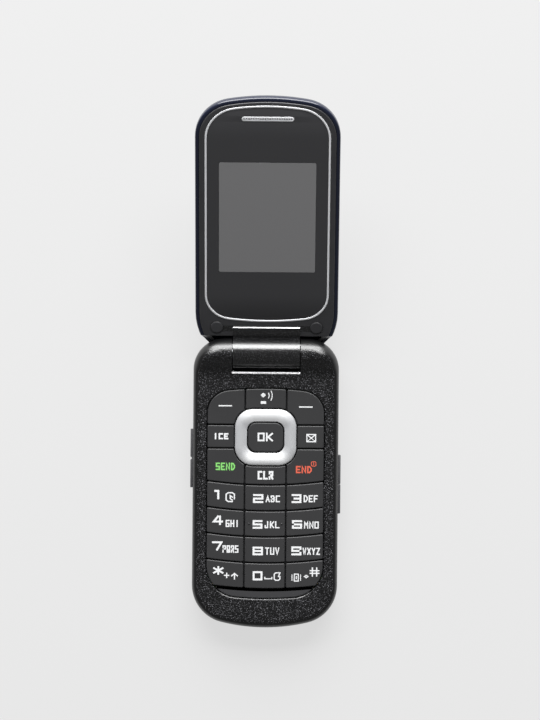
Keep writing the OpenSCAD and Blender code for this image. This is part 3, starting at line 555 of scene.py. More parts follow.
cuts.append(block("pocket", sim_low.x - 0.1 * mm, sim_high.x + 0.1 * mm, sim_low.y - 0.1 * mm,
                  sim_high.y + 0.1 * mm, 0, sim_high.z + 0.2 * mm))
for s in (-1, 1):
    for y in screw_ys:
        cuts.append(rod("head_hole", (s * screw_x, y, -1 * mm),
                        (s * screw_x, y, ledge_z + 0.9 * mm), 1.3 * mm, 32))
        cuts.append(rod("shank_hole", (s * screw_x, y, 0), (s * screw_x, y, 9 * mm), 0.65 * mm, 24))
speaker_y = (speaker_low.y + speaker_high.y) / 2
for i in range(-2, 3):
    x = (speaker_low.x + speaker_high.x) / 2 + i * 2 * mm
    cuts.append(block("vent", x - 0.45 * mm, x + 0.45 * mm, speaker_y - 2.6 * mm,
                      speaker_y + 2.6 * mm, -1 * mm, 3 * mm))
    for end in (-2.6 * mm, 2.6 * mm):
        cuts.append(rod("vent_end", (x, speaker_y + end, -1 * mm), (x, speaker_y + end, 3 * mm),
                        0.45 * mm, 24))
combine(rear, cuts)
shade(rear)
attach(rear, "base")
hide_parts("base_rear_housing")

# ---- Battery cover ---------------------------------------------------------------------------
# A thin smooth plate that slides off towards the tail. Fine grooves near its end by the hinge
# give the thumb a hold. Injection moulded, and held by its edges in the rear housing.

cover_low, cover_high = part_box("battery_cover")
groove_pitch = 1.1 * mm
groove_r = 0.28 * mm
cover = back_form("cover_plate")
combine(cover, [block("field", cover_low.x, cover_high.x, cover_low.y - 1 * mm, cover_high.y,
                      -1 * mm, cover_high.z)], "INTERSECT")
grooves = [
    rod("groove", (-7.5 * mm, cover_high.y - 4 * mm - i * groove_pitch, -0.12 * mm),
        (7.5 * mm, cover_high.y - 4 * mm - i * groove_pitch, -0.12 * mm), groove_r, 20)
    for i in range(7)
]
combine(cover, grooves)
shade(cover)
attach(cover, "battery_cover")
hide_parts("battery_cover")

# ---- Keypad mat ------------------------------------------------------------------------------
# One sheet of soft black rubber under all the keys, with a hole for each stem. It rises into
# the low apron that shows below the last row of keys.

key_gap = 0.4 * mm
column_half = 7 * mm
row_arc = 143 * mm
row_pitch = 8.8 * mm
row_0_y = keypad_top_y - 32.8 * mm
soft_y = keypad_top_y - 12.45 * mm
ice_y = soft_y - 7.95 * mm


def slab(plan, z0, z1):
    return loft("slab", [level(plan, z0), level(plan, z1)])


def round_plan(w, h, r, cx=0.0, cy=0.0, steps=14):
    """Mirrored plan of a rectangle with round corners, from the middle of its low side."""
    w, h = w / 2, h / 2
    right = [(0.0, -h)]
    for x, y, a in ((w - r, r - h, -90), (w - r, h - r, 0)):
        right += [(x + r * math.cos(math.radians(a + 90 * i / steps)),
                   y + r * math.sin(math.radians(a + 90 * i / steps))) for i in range(steps + 1)]
    right.append((0.0, h))
    ring = right + [(-x, y) for x, y in reversed(right[1:-1])]
    return [(cx + x, cy + y) for x, y in ring]


def row_disc(y, gap):
    """Cutter for the curved line between two rows: a great disc whose lowest point is at y."""
    r = row_arc + gap
    ring = [(r * math.sin(t), y + row_arc - r * math.cos(t))
            for t in (math.pi * i / 720 for i in range(721))]
    return slab(ring + [(-x, y) for x, y in reversed(ring[1:-1])], -1 * mm, 2 * mm)


def field(x0, x1, y0, y1):
    """Part of the keypad between straight lines, as a flat solid to cut keys from."""
    piece = slab(keypad_plan(key_gap / 2), 0, 1 * mm)
    return combine(piece, [block("lines", x0, x1, y0, y1, -1 * mm, 2 * mm)], "INTERSECT")


def flat_outline(piece):
    """Outline of a flat solid's top, anticlockwise, and the solid is cleared away."""
    top = max(v.co.z for v in piece.data.vertices)
    edges = set()
    for face in piece.data.polygons:
        points = [piece.data.vertices[k].co for k in face.vertices]
        if min(p.z for p in points) > top - 0.001 * mm:
            ring = [(round(p.x, 8), round(p.y, 8)) for p in points]
            edges.update(zip(ring, ring[1:] + ring[:1]))
    after = {a: b for a, b in edges if (b, a) not in edges}
    ring = [min(after)]
    while after[ring[-1]] != ring[0]:
        ring.append(after[ring[-1]])
    bpy.data.objects.remove(piece, do_unlink=True)
    return ring


def corner(a, p, b):
    """Directions from p to its two neighbours, and the angle by which the plan turns there."""
    u, v = Vector(a) - Vector(p), Vector(b) - Vector(p)
    u.normalize()
    v.normalize()
    return u, v, math.pi - math.acos(max(-1, min(1, u.dot(v))))


def eased(ring, r, least=25):
    """Plan with its sharp corners rounded to radius r, clear of crowded points."""
    kept = [p for k, p in enumerate(ring) if math.dist(p, ring[k - 1]) > 0.01 * mm]
    n = len(kept)
    sharp = [kept[k] for k in range(n)
             if corner(kept[k - 1], kept[k], kept[(k + 1) % n])[2] > math.radians(least)]
    kept = [p for p in kept if p in sharp or min(math.dist(p, q) for q in sharp) > 1.8 * r]
    done = []
    for k, p in enumerate(kept):
        u, v, turned = corner(kept[k - 1], p, kept[(k + 1) % len(kept)])
        if p not in sharp:
            done.append(p)
            continue
        reach = r * math.tan(turned / 2)
        centre = Vector(p) + (u + v).normalized() * (r / math.cos(turned / 2))
        start, end = Vector(p) + u * reach - centre, Vector(p) + v * reach - centre
        sweep = math.atan2(start.x * end.y - start.y * end.x, start.dot(end))
        for j in range(7):
            c, n = math.cos(sweep * j / 6), math.sin(sweep * j / 6)
            done.append((centre.x + start.x * c - start.y * n,
                         centre.y + start.x * n + start.y * c))
    return done


def drawn_in(ring, d):
    """Plan drawn in by d, point by point."""
    moved = []
    n = len(ring)
    for k in range(n):
        (ax, ay), (px, py), (bx, by) = ring[k - 1], ring[k], ring[(k + 1) % n]
        u, v = Vector((px - ax, py - ay)).normalized(), Vector((bx - px, by - py)).normalized()
        side = Vector((-u.y - v.y, u.x + v.x))
        side /= max(side.dot(Vector((-u.y, u.x))), 0.4)
        moved.append((px + side.x * d, py + side.y * d))
    return moved


def cap(name, rings, material=None):
    """Closed piece through rings of any plan, with flat many-sided ends."""
    n = len(rings[0])
    verts = [p for ring in rings for p in ring]
    faces = [list(range(n - 1, -1, -1))]
    for k in range(len(rings) - 1):
        faces += [[k * n + i, k * n + (i + 1) % n, (k + 1) * n + (i + 1) % n, (k + 1) * n + i]
                  for i in range(n)]
    faces.append(list(range((len(rings) - 1) * n, len(rings) * n)))
    return mesh_piece(name, verts, faces, material)


mat_rubber = finish(
    "mat_rubber", skin,
    {"Base": srgb(44, 44, 46), "Dust": srgb(110, 110, 112), "Dusty": 0.5, "Rough": 0.55,
     "Fine": 3500},
    0.012 * mm, Specular_IOR_Level=0.4,
)
carrier_lift = 0.267 * mm
mat_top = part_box("nav_carrier")[0].z - carrier_lift
apron = field(-cut_reach, cut_reach, keypad_end_y - 5 * mm, row_0_y)
combine(apron, [row_disc(row_0_y - 4 * row_pitch, key_gap / 2)])
apron_ring = eased(flat_outline(apron), 0.3 * mm)
apron_top = keypad_high.z
mat = cap(
    "mat_sheet",
    [level(apron_ring, mat_top - 0.4 * mm), level(apron_ring, apron_top - 0.3 * mm)]
    + [level(drawn_in(apron_ring, 0.3 * mm * (1 - math.cos(t))),
             apron_top - 0.3 * mm * (1 - math.sin(t)))
       for t in (math.radians(a) for a in (22, 45, 68, 90))]
    + [level(drawn_in(apron_ring, 0.6 * mm), apron_top)],
    mat_rubber,
)
sheet = slab(keypad_plan(0.6 * mm), keypad_low.z, mat_top)
combine(mat, [sheet], "UNION")
shade(mat, 40)
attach(mat, "base")
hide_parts("keypad_mat")

# ---- Keys ------------------------------------------------------------------------------------
# Twenty hard dark caps in three columns, parted by fine grooves. Their edges are slightly
# rounded, and each stands on a round stem over its own dome. Moulded plastic, matt on top.

key_plastic = finish(
    "key_plastic", skin,
    {"Base": srgb(43, 43, 44), "Dust": srgb(110, 110, 110), "Dusty": 0.2, "Rough": 0.42,
     "Uneven": 0.15, "Fine": 6000},
    0.008 * mm, Specular_IOR_Level=0.4,
)
key_round = 0.32 * mm
stem_r = 1.2 * mm
nav_low, nav_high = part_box("nav_ring")
nav_y = (nav_low.y + nav_high.y) / 2
nav_w, nav_h, nav_r = nav_high.x - nav_low.x, nav_high.y - nav_low.y, 6.1 * mm
stem_out = (column_half + keypad_half) / 2
gap = key_gap / 2


def gather(piece, others):
    """Moves the meshes of the others into the piece, and clears the others away."""
    whole = bmesh.new()
    for part in [piece] + others:
        whole.from_mesh(part.data)
    whole.to_mesh(piece.data)
    whole.free()
    for other in others:
        bpy.data.objects.remove(other, do_unlink=True)
    return piece


def key_cap(node, ring, stem):
    """One key from its plan and the middle of its stem."""
    low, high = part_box(node)
    key_bottom = high.z - 1.75 * mm
    rings = [level(drawn_in(ring, 0.1 * mm), key_bottom), level(ring, key_bottom + 0.1 * mm),
             level(ring, high.z - key_round)]
    for a in (15, 30, 45, 60, 75, 90):
        t = math.radians(a)
        d, h = key_round * (1 - math.cos(t)), key_round * (1 - math.sin(t))
        rings.append(level(drawn_in(ring, d), high.z - h))
    rings.append(level(drawn_in(ring, key_round * 1.3), high.z))
    key = cap(node + "_cap", rings, key_plastic)
    gather(key, [rod("post", (*stem, low.z), (*stem, key_bottom + 0.3 * mm), stem_r, 32)])
    shade(key, 35)
    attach(key, node)
    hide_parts(node)
    return key


def nav_clear():
    plan = round_plan(nav_w + 2 * key_gap, nav_h + 2 * key_gap, nav_r + key_gap, 0, nav_y)
    return slab(plan, -1 * mm, 2 * mm)


right_x = (column_half + gap, cut_reach)
soft = combine(field(*right_x, soft_y + gap, 60 * mm), [nav_clear()])
ice = combine(field(*right_x, ice_y + gap, soft_y - gap), [nav_clear()])
call = combine(field(*right_x, row_0_y - 5 * mm, ice_y - gap), [nav_clear()])
combine(call, [row_disc(row_0_y, -gap)], "INTERSECT")
for piece, left, right_hand, stem in (
    (soft, "softkey_left", "softkey_right", (stem_out, soft_y + 4.7 * mm)),
    (ice, "ice_key", "message_key", (stem_out + 1.2 * mm, soft_y - 3.975 * mm)),
    (call, "send_key", "end_key", (stem_out, (ice_y + row_0_y) / 2)),
):
    ring = eased(flat_outline(piece), 0.5 * mm)
    key_cap(right_hand, ring, stem)
    key_cap(left, [(-x, y) for x, y in reversed(ring)], (-stem[0], stem[1]))
middle = (gap - column_half, column_half - gap)
voice = combine(field(*middle, nav_y, 60 * mm), [nav_clear()])
key_cap("voice_key", eased(flat_outline(voice), 0.5 * mm), (0, keypad_top_y - 3.6 * mm))
clear = combine(field(*middle, row_0_y - 5 * mm, nav_y), [nav_clear()])
combine(clear, [row_disc(row_0_y, -gap)], "INTERSECT")
key_cap("clear_key", eased(flat_outline(clear), 0.5 * mm), (0, row_0_y + 3.2 * mm))
digits = [f"key_{n}" for n in "123456789"] + ["key_star", "key_0", "key_hash"]
columns = [(-cut_reach, -column_half - gap), middle, right_x]
for n, node in enumerate(digits):
    row, col = divmod(n, 3)
    y = row_0_y - row * row_pitch
    piece = field(*columns[col], y - row_pitch - 5 * mm, y + 9 * mm)
    combine(piece, [row_disc(y - row_pitch, -gap)], "INTERSECT")
    combine(piece, [row_disc(y, gap)])
    stem = ((col - 1) * stem_out, y - row_pitch / 2)
    key_cap(node, eased(flat_outline(piece), 0.5 * mm), stem)

# ---- OK key and four-way ring ----------------------------------------------------------------
# A silver-painted ring that tips four ways on a springy carrier plate, dished towards the OK
# key in its middle. Moulded, painted and clear-coated.

ok_low, ok_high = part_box("ok_key")
ok_w, ok_h, ok_r = ok_high.x - ok_low.x, ok_high.y - ok_low.y, 2.8 * mm
key_cap("ok_key", round_plan(ok_w, ok_h, ok_r, 0, nav_y, 10), (0, nav_y))

# Spun silver paint with fine spokes; its colour is painted paler towards the tail and the hinge and
# duller on both sides, a painted reflection of the lamps
spokes_and_painted_reflection, given, out = effect(
    "spun_paint",
    {"Pale": ("colour", (0.8, 0.8, 0.8, 1)), "Dull": ("colour", (0.5, 0.5, 0.5, 1)),
     "Middle": ("value", 0.0), "Rough": ("value", 0.4)},
)
place = put(spokes_and_painted_reflection, "ShaderNodeTexCoord").outputs["Object"]
parts = put(spokes_and_painted_reflection, "ShaderNodeSeparateXYZ", {0: place}).outputs
along = put(spokes_and_painted_reflection, "ShaderNodeMath", {0: parts["Y"], 1: given["Middle"]}, operation="SUBTRACT")
turn = put(spokes_and_painted_reflection, "ShaderNodeMath", {0: along.outputs[0], 1: parts["X"]}, operation="ARCTAN2")
across = put(spokes_and_painted_reflection, "ShaderNodeMath", {0: turn.outputs[0]}, operation="COSINE")
side = put(spokes_and_painted_reflection, "ShaderNodeMath", {0: across.outputs[0]}, operation="ABSOLUTE")
# Painted reflection: the sides of the ring are painted duller than its ends
side_shade_mask = put(spokes_and_painted_reflection, "ShaderNodeMapRange",
           {"Value": side.outputs[0], "From Min": 0.62, "From Max": 0.85})
spoke = put(spokes_and_painted_reflection, "ShaderNodeTexNoise", {"W": turn.outputs[0], "Scale": 40, "Detail": 3},
            noise_dimensions="1D")
mixed = put(spokes_and_painted_reflection, "ShaderNodeMix", {0: side_shade_mask.outputs[0], 6: given["Pale"], 7: given["Dull"]},
            data_type="RGBA")
rough = put(spokes_and_painted_reflection, "ShaderNodeMath", {0: spoke.outputs["Fac"], 1: 0.15, 2: given["Rough"]},
            operation="MULTIPLY_ADD")
give(spokes_and_painted_reflection, out, mixed.outputs[2], rough.outputs[0], spoke.outputs["Fac"])
silver_paint = finish(
    "silver_paint", spokes_and_painted_reflection,
    {"Pale": srgb(206, 207, 208), "Dull": srgb(156, 157, 159), "Middle": nav_y, "Rough": 0.38},
    0.01 * mm, Specular_IOR_Level=0.4,
)


def hoop(name, rings, material=None):
    """Ring-shaped piece: rings of points joined in a closed cycle."""
    n, m = len(rings[0]), len(rings)
    verts = [p for ring in rings for p in ring]
    faces = [[k * n + i, k * n + (i + 1) % n, (k + 1) % m * n + (i + 1) % n, (k + 1) % m * n + i]
             for k in range(m) for i in range(n)]
    return mesh_piece(name, verts, faces, material)


# Across the ring: share of the way from its outer edge to its hole, and height over the face
ring_profile = [
    (0.0, -1.25), (0.0, -0.42), (0.012, -0.3), (0.05, -0.18), (0.12, -0.03), (0.2, 0.1),
    (0.28, 0.2), (0.36, 0.27), (0.44, 0.3), (0.52, 0.29), (0.6, 0.24), (0.68, 0.16),
    (0.76, 0.06), (0.84, -0.06), (0.91, -0.17), (0.97, -0.26), (1.0, -0.36), (1.0, -1.25),
]
ring_outer = round_plan(nav_w, nav_h, nav_r, 0, nav_y, 24)
hole = round_plan(ok_w + 2 * key_gap, ok_h + 2 * key_gap, 3.0 * mm, 0, nav_y, 24)
rings = []
for share, height in ring_profile:
    plan = [(a[0] + (b[0] - a[0]) * share, a[1] + (b[1] - a[1]) * share)
            for a, b in zip(ring_outer, hole)]
    rings.append(level(plan, base_t + height * mm))
ring = hoop("nav_ring_shell", rings, silver_paint)
shade(ring, 50)
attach(ring, "nav_ring")
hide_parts("nav_ring")

# ---- Key legends -----------------------------------------------------------------------------
# Numbers, letters and plain signs printed on the key tops in white, with a green and a red call
# key, and two raised nubs beside the 5. A thin layer of ink with a slightly rough surface.

white_ink = finish(
    "white_ink", skin,
    {"Base": srgb(206, 207, 208), "Dust": srgb(180, 180, 180), "Rough": 0.5, "Fine": 9000},
    0.002 * mm, Specular_IOR_Level=0.3,
)
green_ink = finish(
    "green_ink", skin,
    {"Base": srgb(118, 186, 100), "Dust": srgb(140, 170, 135), "Rough": 0.5, "Fine": 9000},
    0.002 * mm, Specular_IOR_Level=0.3,
)
red_ink = finish(
    "red_ink", skin,
    {"Base": srgb(194, 88, 68), "Dust": srgb(180, 120, 110), "Rough": 0.5, "Fine": 9000},
    0.002 * mm, Specular_IOR_Level=0.3,
)
# Strokes of each sign: points as column and row digits on a field 4 wide and 6 high
strokes = {
    "0": "00 40 46 06 00", "1": "06 36 30", "2": "06 46 43 03 00 40", "3": "06 46 40 00/13 43",
    "4": "30 36/26 02 42", "5": "46 06 03 43 40 00", "6": "46 06 00 40 43 03", "7": "06 46 20",
    "8": "00 40 46 06 00/03 43", "9": "43 03 06 46 40 00", "A": "00 26 40/12 32",
    "B": "00 06 36 44 33 03/33 42 30 00", "C": "46 06 00 40", "D": "00 06 26 44 42 20 00",
    "E": "46 06 00 40/03 33", "F": "46 06 00/03 33", "G": "46 06 00 40 43 23",
    "H": "06 00/46 40/03 43", "I": "26 20", "J": "36 30 00 02", "K": "06 00/46 13 40",
    "L": "06 00 40", "M": "00 06 23 46 40", "N": "00 06 40 46", "O": "00 40 46 06 00",
    "P": "00 06 46 43 03", "Q": "00 40 46 06 00/22 40", "R": "00 06 46 43 03/23 40",
    "S": "46 06 03 43 40 00", "T": "06 46/26 20", "U": "06 00 40 46", "V": "06 20 46",
    "W": "06 10 24 30 46", "X": "00 46/06 40", "Y": "06 23 46/23 20", "Z": "06 46 00 40",
    "+": "03 43/20 26", "*": "20 26/01 45/05 41", "#": "10 16/30 36/02 42/04 44",
    "-": "03 43", "@": "30 10 01 05 16 36 45 42/33 24 22 31", "^": "20 25/03 25 43",
    "_": "06 00 40 46",
    "~": "36 16 05 01 10 30 41 43/46 33", "=": "00 40 46 06 00/06 23 46", "(": "06 24 22 00",
    "o": "13 24 33 22 13", "n": "00 12 32 40", "|": "20 26", "%": "06 46 40 00 06/24 22",
    "q": "10 01 05 16 36 45 41 30 10",
}


def ribbon(points, width, z0, z1):
    """Closed band of an even width along the points, with mitred corners."""
    n = len(points)
    loop = points[0] == points[-1]
    if not loop:
        for end, inner in ((0, 1), (-1, -2)):
            out_way = Vector(points[end]) - Vector(points[inner])
            points[end] = tuple(Vector(points[end]) + out_way.normalized() * width / 2)
    left, right = [], []
    for i, p in enumerate(points):
        before = points[i - 1] if i else (points[-2] if loop else None)
        after = points[i + 1] if i < n - 1 else (points[1] if loop else None)
        ways = [Vector((b[0] - a[0], b[1] - a[1])).normalized()
                for a, b in ((before, p), (p, after)) if a and b]
        sides = [Vector((-w.y, w.x)) for w in ways]
        mitre = sum(sides, Vector((0, 0))).normalized()
        reach = width / 2 / max(mitre.dot(sides[0]), 0.45)
        left.append((p[0] + mitre.x * reach, p[1] + mitre.y * reach))
        right.append((p[0] - mitre.x * reach, p[1] - mitre.y * reach))
    verts, faces = [], []
    for a, b in zip(left, right):
        verts += [(*a, z0), (*b, z0), (*b, z1), (*a, z1)]
    for k in range(n - 1):
        for i in range(4):
            j = (i + 1) % 4
            faces.append([4 * k + i, 4 * k + j, 4 * k + 4 + j, 4 * k + 4 + i])
    faces += [[3, 2, 1, 0], [4 * n - 4, 4 * n - 3, 4 * n - 2, 4 * n - 1]]
    return mesh_piece("stroke", verts, faces)


def legend(node, ink, signs):
    """Print on a key. Each sign has its letters, left, bottom, width, height and stroke in mm."""
    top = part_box(node)[1].z
    print_layer = None
    count = 0
    for letters, x, y, w, h, t in signs:
        space = 0.0 if len(letters) == 1 else 0.17 * w / len(letters)
        wide = (w + space) / len(letters)
        each = wide - space
        for k, sign in enumerate(letters):
            for line in strokes[sign].split("/"):
                points = [((x + k * wide + t / 2 + int(c[0]) / 4 * (each - t)) * mm,
                           (y + t / 2 + int(c[1]) / 6 * (h - t)) * mm) for c in line.split()]
                lift = (0.016 + 0.0015 * (count % 5)) * mm
                count += 1
                band = ribbon(points, t * mm, top - 0.02 * mm, top + lift)
                print_layer = gather(print_layer, [band]) if print_layer else band
    print_layer.name = node + "_legend"
    print_layer.data.materials.clear()
    print_layer.data.materials.append(ink)
    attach(print_layer, node)
    return print_layer


legend("softkey_left", white_ink, [("-", -15.97, 24.5, 4.5, 3.0, 0.42)])
legend("softkey_right", white_ink, [("-", 11.17, 24.3, 4.6, 3.0, 0.42)])
legend("voice_key", white_ink, [
    ("o", -2.1, 28.2, 2.4, 3.0, 0.64), ("-", -1.75, 25.9, 1.8, 2.6, 0.9),
    ("(", 0.7, 28.6, 0.75, 1.9, 0.3), ("(", 1.6, 27.9, 0.95, 3.3, 0.3),
])
legend("ice_key", white_ink, [("ICE", -17.7, 14.65, 5.1, 2.1, 0.52)])
legend("message_key", white_ink, [
    ("=", 13.75, 13.9, 3.3, 2.8, 0.36), ("X", 14.1, 14.2, 2.6, 2.2, 0.26),
])
legend("ok_key", white_ink, [("OK", -2.72, 14.1, 5.2, 2.9, 0.55)])
legend("send_key", green_ink, [("SEND", -16.8, 4.2, 6.55, 2.55, 0.48)])
legend("clear_key", white_ink, [("CLR", -2.6, 1.15, 5.3, 2.9, 0.6)])
legend("end_key", red_ink, [
    ("END", 10.3, 3.4, 5.4, 2.45, 0.48), ("q", 15.4, 5.7, 1.8, 1.75, 0.24),
    ("|", 15.9, 6.1, 0.8, 1.0, 0.24),
])
for node, signs in {
    "key_1": [("1", -17.2, -5.65, 2.0, 3.15, 0.68), ("@", -13.4, -6.6, 3.2, 3.4, 0.42)],
    "key_2": [("2", -4.1, -6.8, 3.5, 3.0, 0.64), ("ABC", 0.16, -6.5, 4.85, 2.3, 0.42)],
    "key_3": [("3", 8.95, -6.7, 3.3, 3.0, 0.64), ("DEF", 13.0, -6.4, 4.85, 2.4, 0.42)],
    "key_4": [("4", -17.6, -14.35, 3.4, 3.2, 0.64), ("GHI", -13.3, -15.0, 4.55, 2.4, 0.42)],
    "key_5": [("5", -4.15, -15.5, 3.3, 2.9, 0.64), ("JKL", -0.1, -15.3, 5.0, 2.4, 0.42)],
    "key_6": [("6", 9.15, -15.4, 3.4, 2.9, 0.64), ("MNO", 13.2, -15.3, 5.0, 2.4, 0.42)],
    "key_7": [("7", -17.85, -23.0, 3.5, 3.1, 0.64), ("PQRS", -14.3, -23.7, 5.4, 2.5, 0.42)],
    "key_8": [("8", -4.1, -24.5, 3.5, 2.9, 0.64), ("TUV", 0.1, -24.3, 4.85, 2.5, 0.42)],
    "key_9": [("9", 9.0, -24.4, 3.4, 3.0, 0.64), ("WXYZ", 12.8, -24.2, 5.9, 2.4, 0.42)],
    "key_star": [("*", -17.4, -31.2, 3.5, 2.9, 0.6), ("+", -13.7, -32.3, 1.8, 1.8, 0.4),
                 ("^", -11.3, -32.8, 2.3, 2.6, 0.42)],
    "key_0": [("0", -4.0, -33.0, 3.3, 3.1, 0.64), ("_", -0.05, -32.6, 2.7, 0.8, 0.35),
              ("~", 3.1, -33.1, 2.3, 2.9, 0.38)],
    "key_hash": [("%", 9.9, -33.3, 1.7, 2.7, 0.34), ("|", 8.9, -33.0, 0.8, 2.1, 0.28),
                 ("|", 11.8, -33.0, 0.8, 2.1, 0.28), ("o", 13.0, -32.7, 2.2, 2.3, 0.6),
                 ("#", 15.25, -31.55, 3.3, 3.1, 0.42)],
}.items():
    legend(node, white_ink, signs)
nubs = None
for x in (-5.4 * mm, 5.65 * mm):
    nub = cap("nubs", [
        [(x + r * math.cos(t), -13.8 * mm + r * math.sin(t), h)
         for t in (2 * math.pi * i / 24 for i in range(24))]
        for r, h in ((0.34 * mm, base_t - 0.3 * mm), (0.32 * mm, base_t + 0.1 * mm),
                     (0.22 * mm, base_t + 0.2 * mm), (0.08 * mm, base_t + 0.24 * mm))
    ], key_plastic)
    nubs = gather(nubs, [nub]) if nubs else nub
shade(nubs, 50)
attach(nubs, "key_5")

# ---- Side pieces -----------------------------------------------------------------------------
# The volume rocker with its thumb notch on the left, the camera key and the hinged socket cover
# on the right. Small black mouldings that stand a little proud of the wall.


def soften(piece, width, segments=3):
    """Rounds a piece's sharp edges."""
    step = piece.modifiers.new("soften", "BEVEL")
    step.width = width
    step.segments = segments
    step.limit_method = "ANGLE"
    step.angle_limit = math.radians(30)
    return combine(piece, [])


def bar(name, x0, x1, y0, y1):
    return block(name, x0, x1, y0, y1, side_z - side_key_h / 2, side_z + side_key_h / 2)


proud = base_high.x + 0.85 * mm
flange_x = half_w - inner_inset - 0.35 * mm
rocker = bar("rocker_bar", -proud, -flange_x, rocker_low.y + flange, rocker_high.y - flange)
mid = (rocker_low.y + rocker_high.y) / 2
combine(rocker, [cap("thumb_notch", [
    [(-proud - 1 * mm, mid - 1.6 * mm, z), (0.5 * mm - proud, mid - 0.1 * mm, z),
     (0.5 * mm - proud, mid + 0.1 * mm, z), (-proud - 1 * mm, mid + 1.6 * mm, z)]
    for z in (0, 20 * mm)])])
camera_low, camera_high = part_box("camera_key")
flap_low, flap_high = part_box("port_cover")
shutter = bar("shutter_bar", flange_x, proud, camera_low.y, camera_high.y - flange)
flap = bar("flap_bar", flap_low.x, proud, flap_low.y, flap_high.y)
cover_rubber = finish(
    "cover_rubber", skin,
    {"Base": srgb(34, 34, 35), "Dust": srgb(120, 120, 120), "Dusty": 0.6, "Rough": 0.52,
     "Fine": 3500},
    0.012 * mm, Specular_IOR_Level=0.4,
)
for piece, node, back, finish_name in (
    (rocker, "volume_rocker", (-flange_x, 0.6 * mm - flange_x, rocker_low.y, rocker_high.y),
     "smooth_black"),
    (shutter, "camera_key", (flange_x - 0.6 * mm, flange_x, camera_low.y, camera_high.y),
     "smooth_black"),
    (flap, "port_cover", None, "cover_rubber"),
):
    soften(piece, 0.3 * mm)
    if back:
        gather(piece, [soften(bar("back_plate", *back), 0.08 * mm, 1)])
    piece.data.materials.clear()
    piece.data.materials.append(bpy.data.materials[finish_name])
    shade(piece, 35)
    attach(piece, node)
    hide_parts(node)

# ---- Lid outer cover -------------------------------------------------------------------------
# The outer half of the lid: a deep dark-blue glossy moulding with broadly rounded edges, and
# openings for the outer screen's window and the camera. Its rim frames the inner housing.

# Pieces of the lid are drawn with Y along the lid from the hinge axis and Z out of its inner
# face, and this puts them in place
lid_place = (Matrix.Translation((0, axis_y, axis_z))
             @ Matrix.Rotation(math.radians(180 - hinge["range_deg"][1]), 4, "X"))
lid_half = 24 * mm
lid_tip = 92.2 * mm
lid_end = -7.9 * mm
lid_end_r = 22 * mm
lid_cut = -0.5 * mm
lid_corner = 13 * mm
lid_crown = 75 * mm
lid_face = -1.6 * mm
lid_back = -9.2 * mm
lid_floor = -8.0 * mm
parting = 1.35 * mm
cove_r = barrel_r + 0.8 * mm
screen_out_y = lid_tip - 40.7 * mm
camera_y = lid_tip - 18.5 * mm
camera_r = 3.6 * mm
window_w, window_h = 24 * mm, 16 * mm


def lay_in_lid(piece, node=None):
    """Puts a piece that was drawn in the lid's frame in place, and fixes it to the lid."""
    piece.data.transform(lid_place)
    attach(piece, "lid")
    if node:
        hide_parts(node)
    return piece


def lid_plan(d, tip_in=0.0):
    return outline(lid_half, (lid_end, shoulder_crown, lid_end_r),
                   (lid_tip - tip_in, lid_crown, lid_corner), d, 40)


def lid_body(name, d, up, tops, material=None):
    """Lid form drawn in by d, with its rounded back raised by up, and tops as (height, inset)."""
    shrink = 0.9 * mm if up else 0.0
    foot = lid_back + 6 * mm
    rings = []
    for u in (1, 0.995, 0.985, 0.967, 0.93, 0.883, 0.82, 0.75, 0.667, 0.583, 0.47, 0.367, 0.26,
              0.167, 0.08):
        side_in = (3.2 * mm - shrink) * (1 - (1 - u ** 2.6) ** (1 / 2.6))
        tip_in = (6 * mm - shrink) * (1 - (1 - u ** 2) ** 0.5)
        rings.append(level(lid_plan(d + side_in, tip_in - side_in), foot - (6 * mm - up) * u))
    rings.append(level(lid_plan(d), foot))
    rings += [level(lid_plan(d + more), height) for height, more in tops]
    return loft(name, rings, material)


def lid_end_cuts():
    """Cutters for the lid's end: the cove round the barrel, and all that lies behind lid_cut."""
    cove = rod("cove", (-far, 0, 0), (far, 0, 0), cove_r, 128)
    behind = block("behind", -far, far, -cut_reach, lid_cut, -cut_reach, cut_reach)
    return cove, behind


navy_gloss = finish(
    "navy_gloss", skin,
    {"Base": srgb(20, 25, 42), "Dust": srgb(110, 114, 124), "Dusty": 0.15, "Rough": 0.26,
     "Uneven": 0.06, "Fine": 1500},
    0.002 * mm, Coat_Weight=0.1, Coat_Roughness=0.1,
)
rim = [(lid_face + h * mm, d * mm) for h, d in
       ((-1.0, 0), (-0.8, 0.03), (-0.6, 0.14), (-0.45, 0.3), (-0.36, 0.5), (-0.33, 0.75))]
outer = lid_body("outer_cover", 0.0, 0.0, rim, navy_gloss)
cove, behind = lid_end_cuts()
pocket = lid_body("pocket", parting - 0.12 * mm, lid_floor - lid_back, [(2 * mm, 0.0)])
window_cut = cap("window_cut", [level(round_plan(window_w + 0.1 * mm, window_h + 0.1 * mm,
                                                 1.5 * mm, 0, screen_out_y), h)
                                for h in (lid_back - 1 * mm, 0)])
camera_cut = rod("camera_cut", (0, camera_y, lid_back - 1 * mm), (0, camera_y, 0),
                 camera_r + 0.05 * mm, 64)
combine(outer, [pocket, cove, behind, window_cut, camera_cut])
shade(outer, 28)
lay_in_lid(outer, "lid_outer_cover")

# ---- Lid inner housing, with the hinge barrel ------------------------------------------------
# The black inner half of the lid. Its neck runs down between the shoulders into the barrel that
# holds the hinge. The barrel and the bezel are finely grained, one moulding with the face.

barrel_half = 11.3 * mm
neck_top = lid_face + 0.45 * mm
neck_l = 8.4 * mm
groove_l, groove_h = 1.2 * mm, 1.45 * mm
face_wall = 1.25 * mm
panel_t = 0.8 * mm
face_half = 20.15 * mm
face_end, face_top = 11.7 * mm, lid_tip - 3.2 * mm
line_w = 0.65 * mm
slot_y = lid_tip - 7.3 * mm
screen_w, screen_h = 32.3 * mm, 39.95 * mm
screen_y = 29.45 * mm + screen_h / 2
plug_x, plug_y, plug_r = 16.8 * mm, 8.9 * mm, 2.15 * mm
cartridge_end = -barrel_half + 13 * mm
flex_x0 = cartridge_end + 0.8 * mm


def face_plan(d):
    return outline(face_half, (face_end, 100 * mm, 8.5 * mm), (face_top, lid_crown, 10.4 * mm),
                   d, 40)


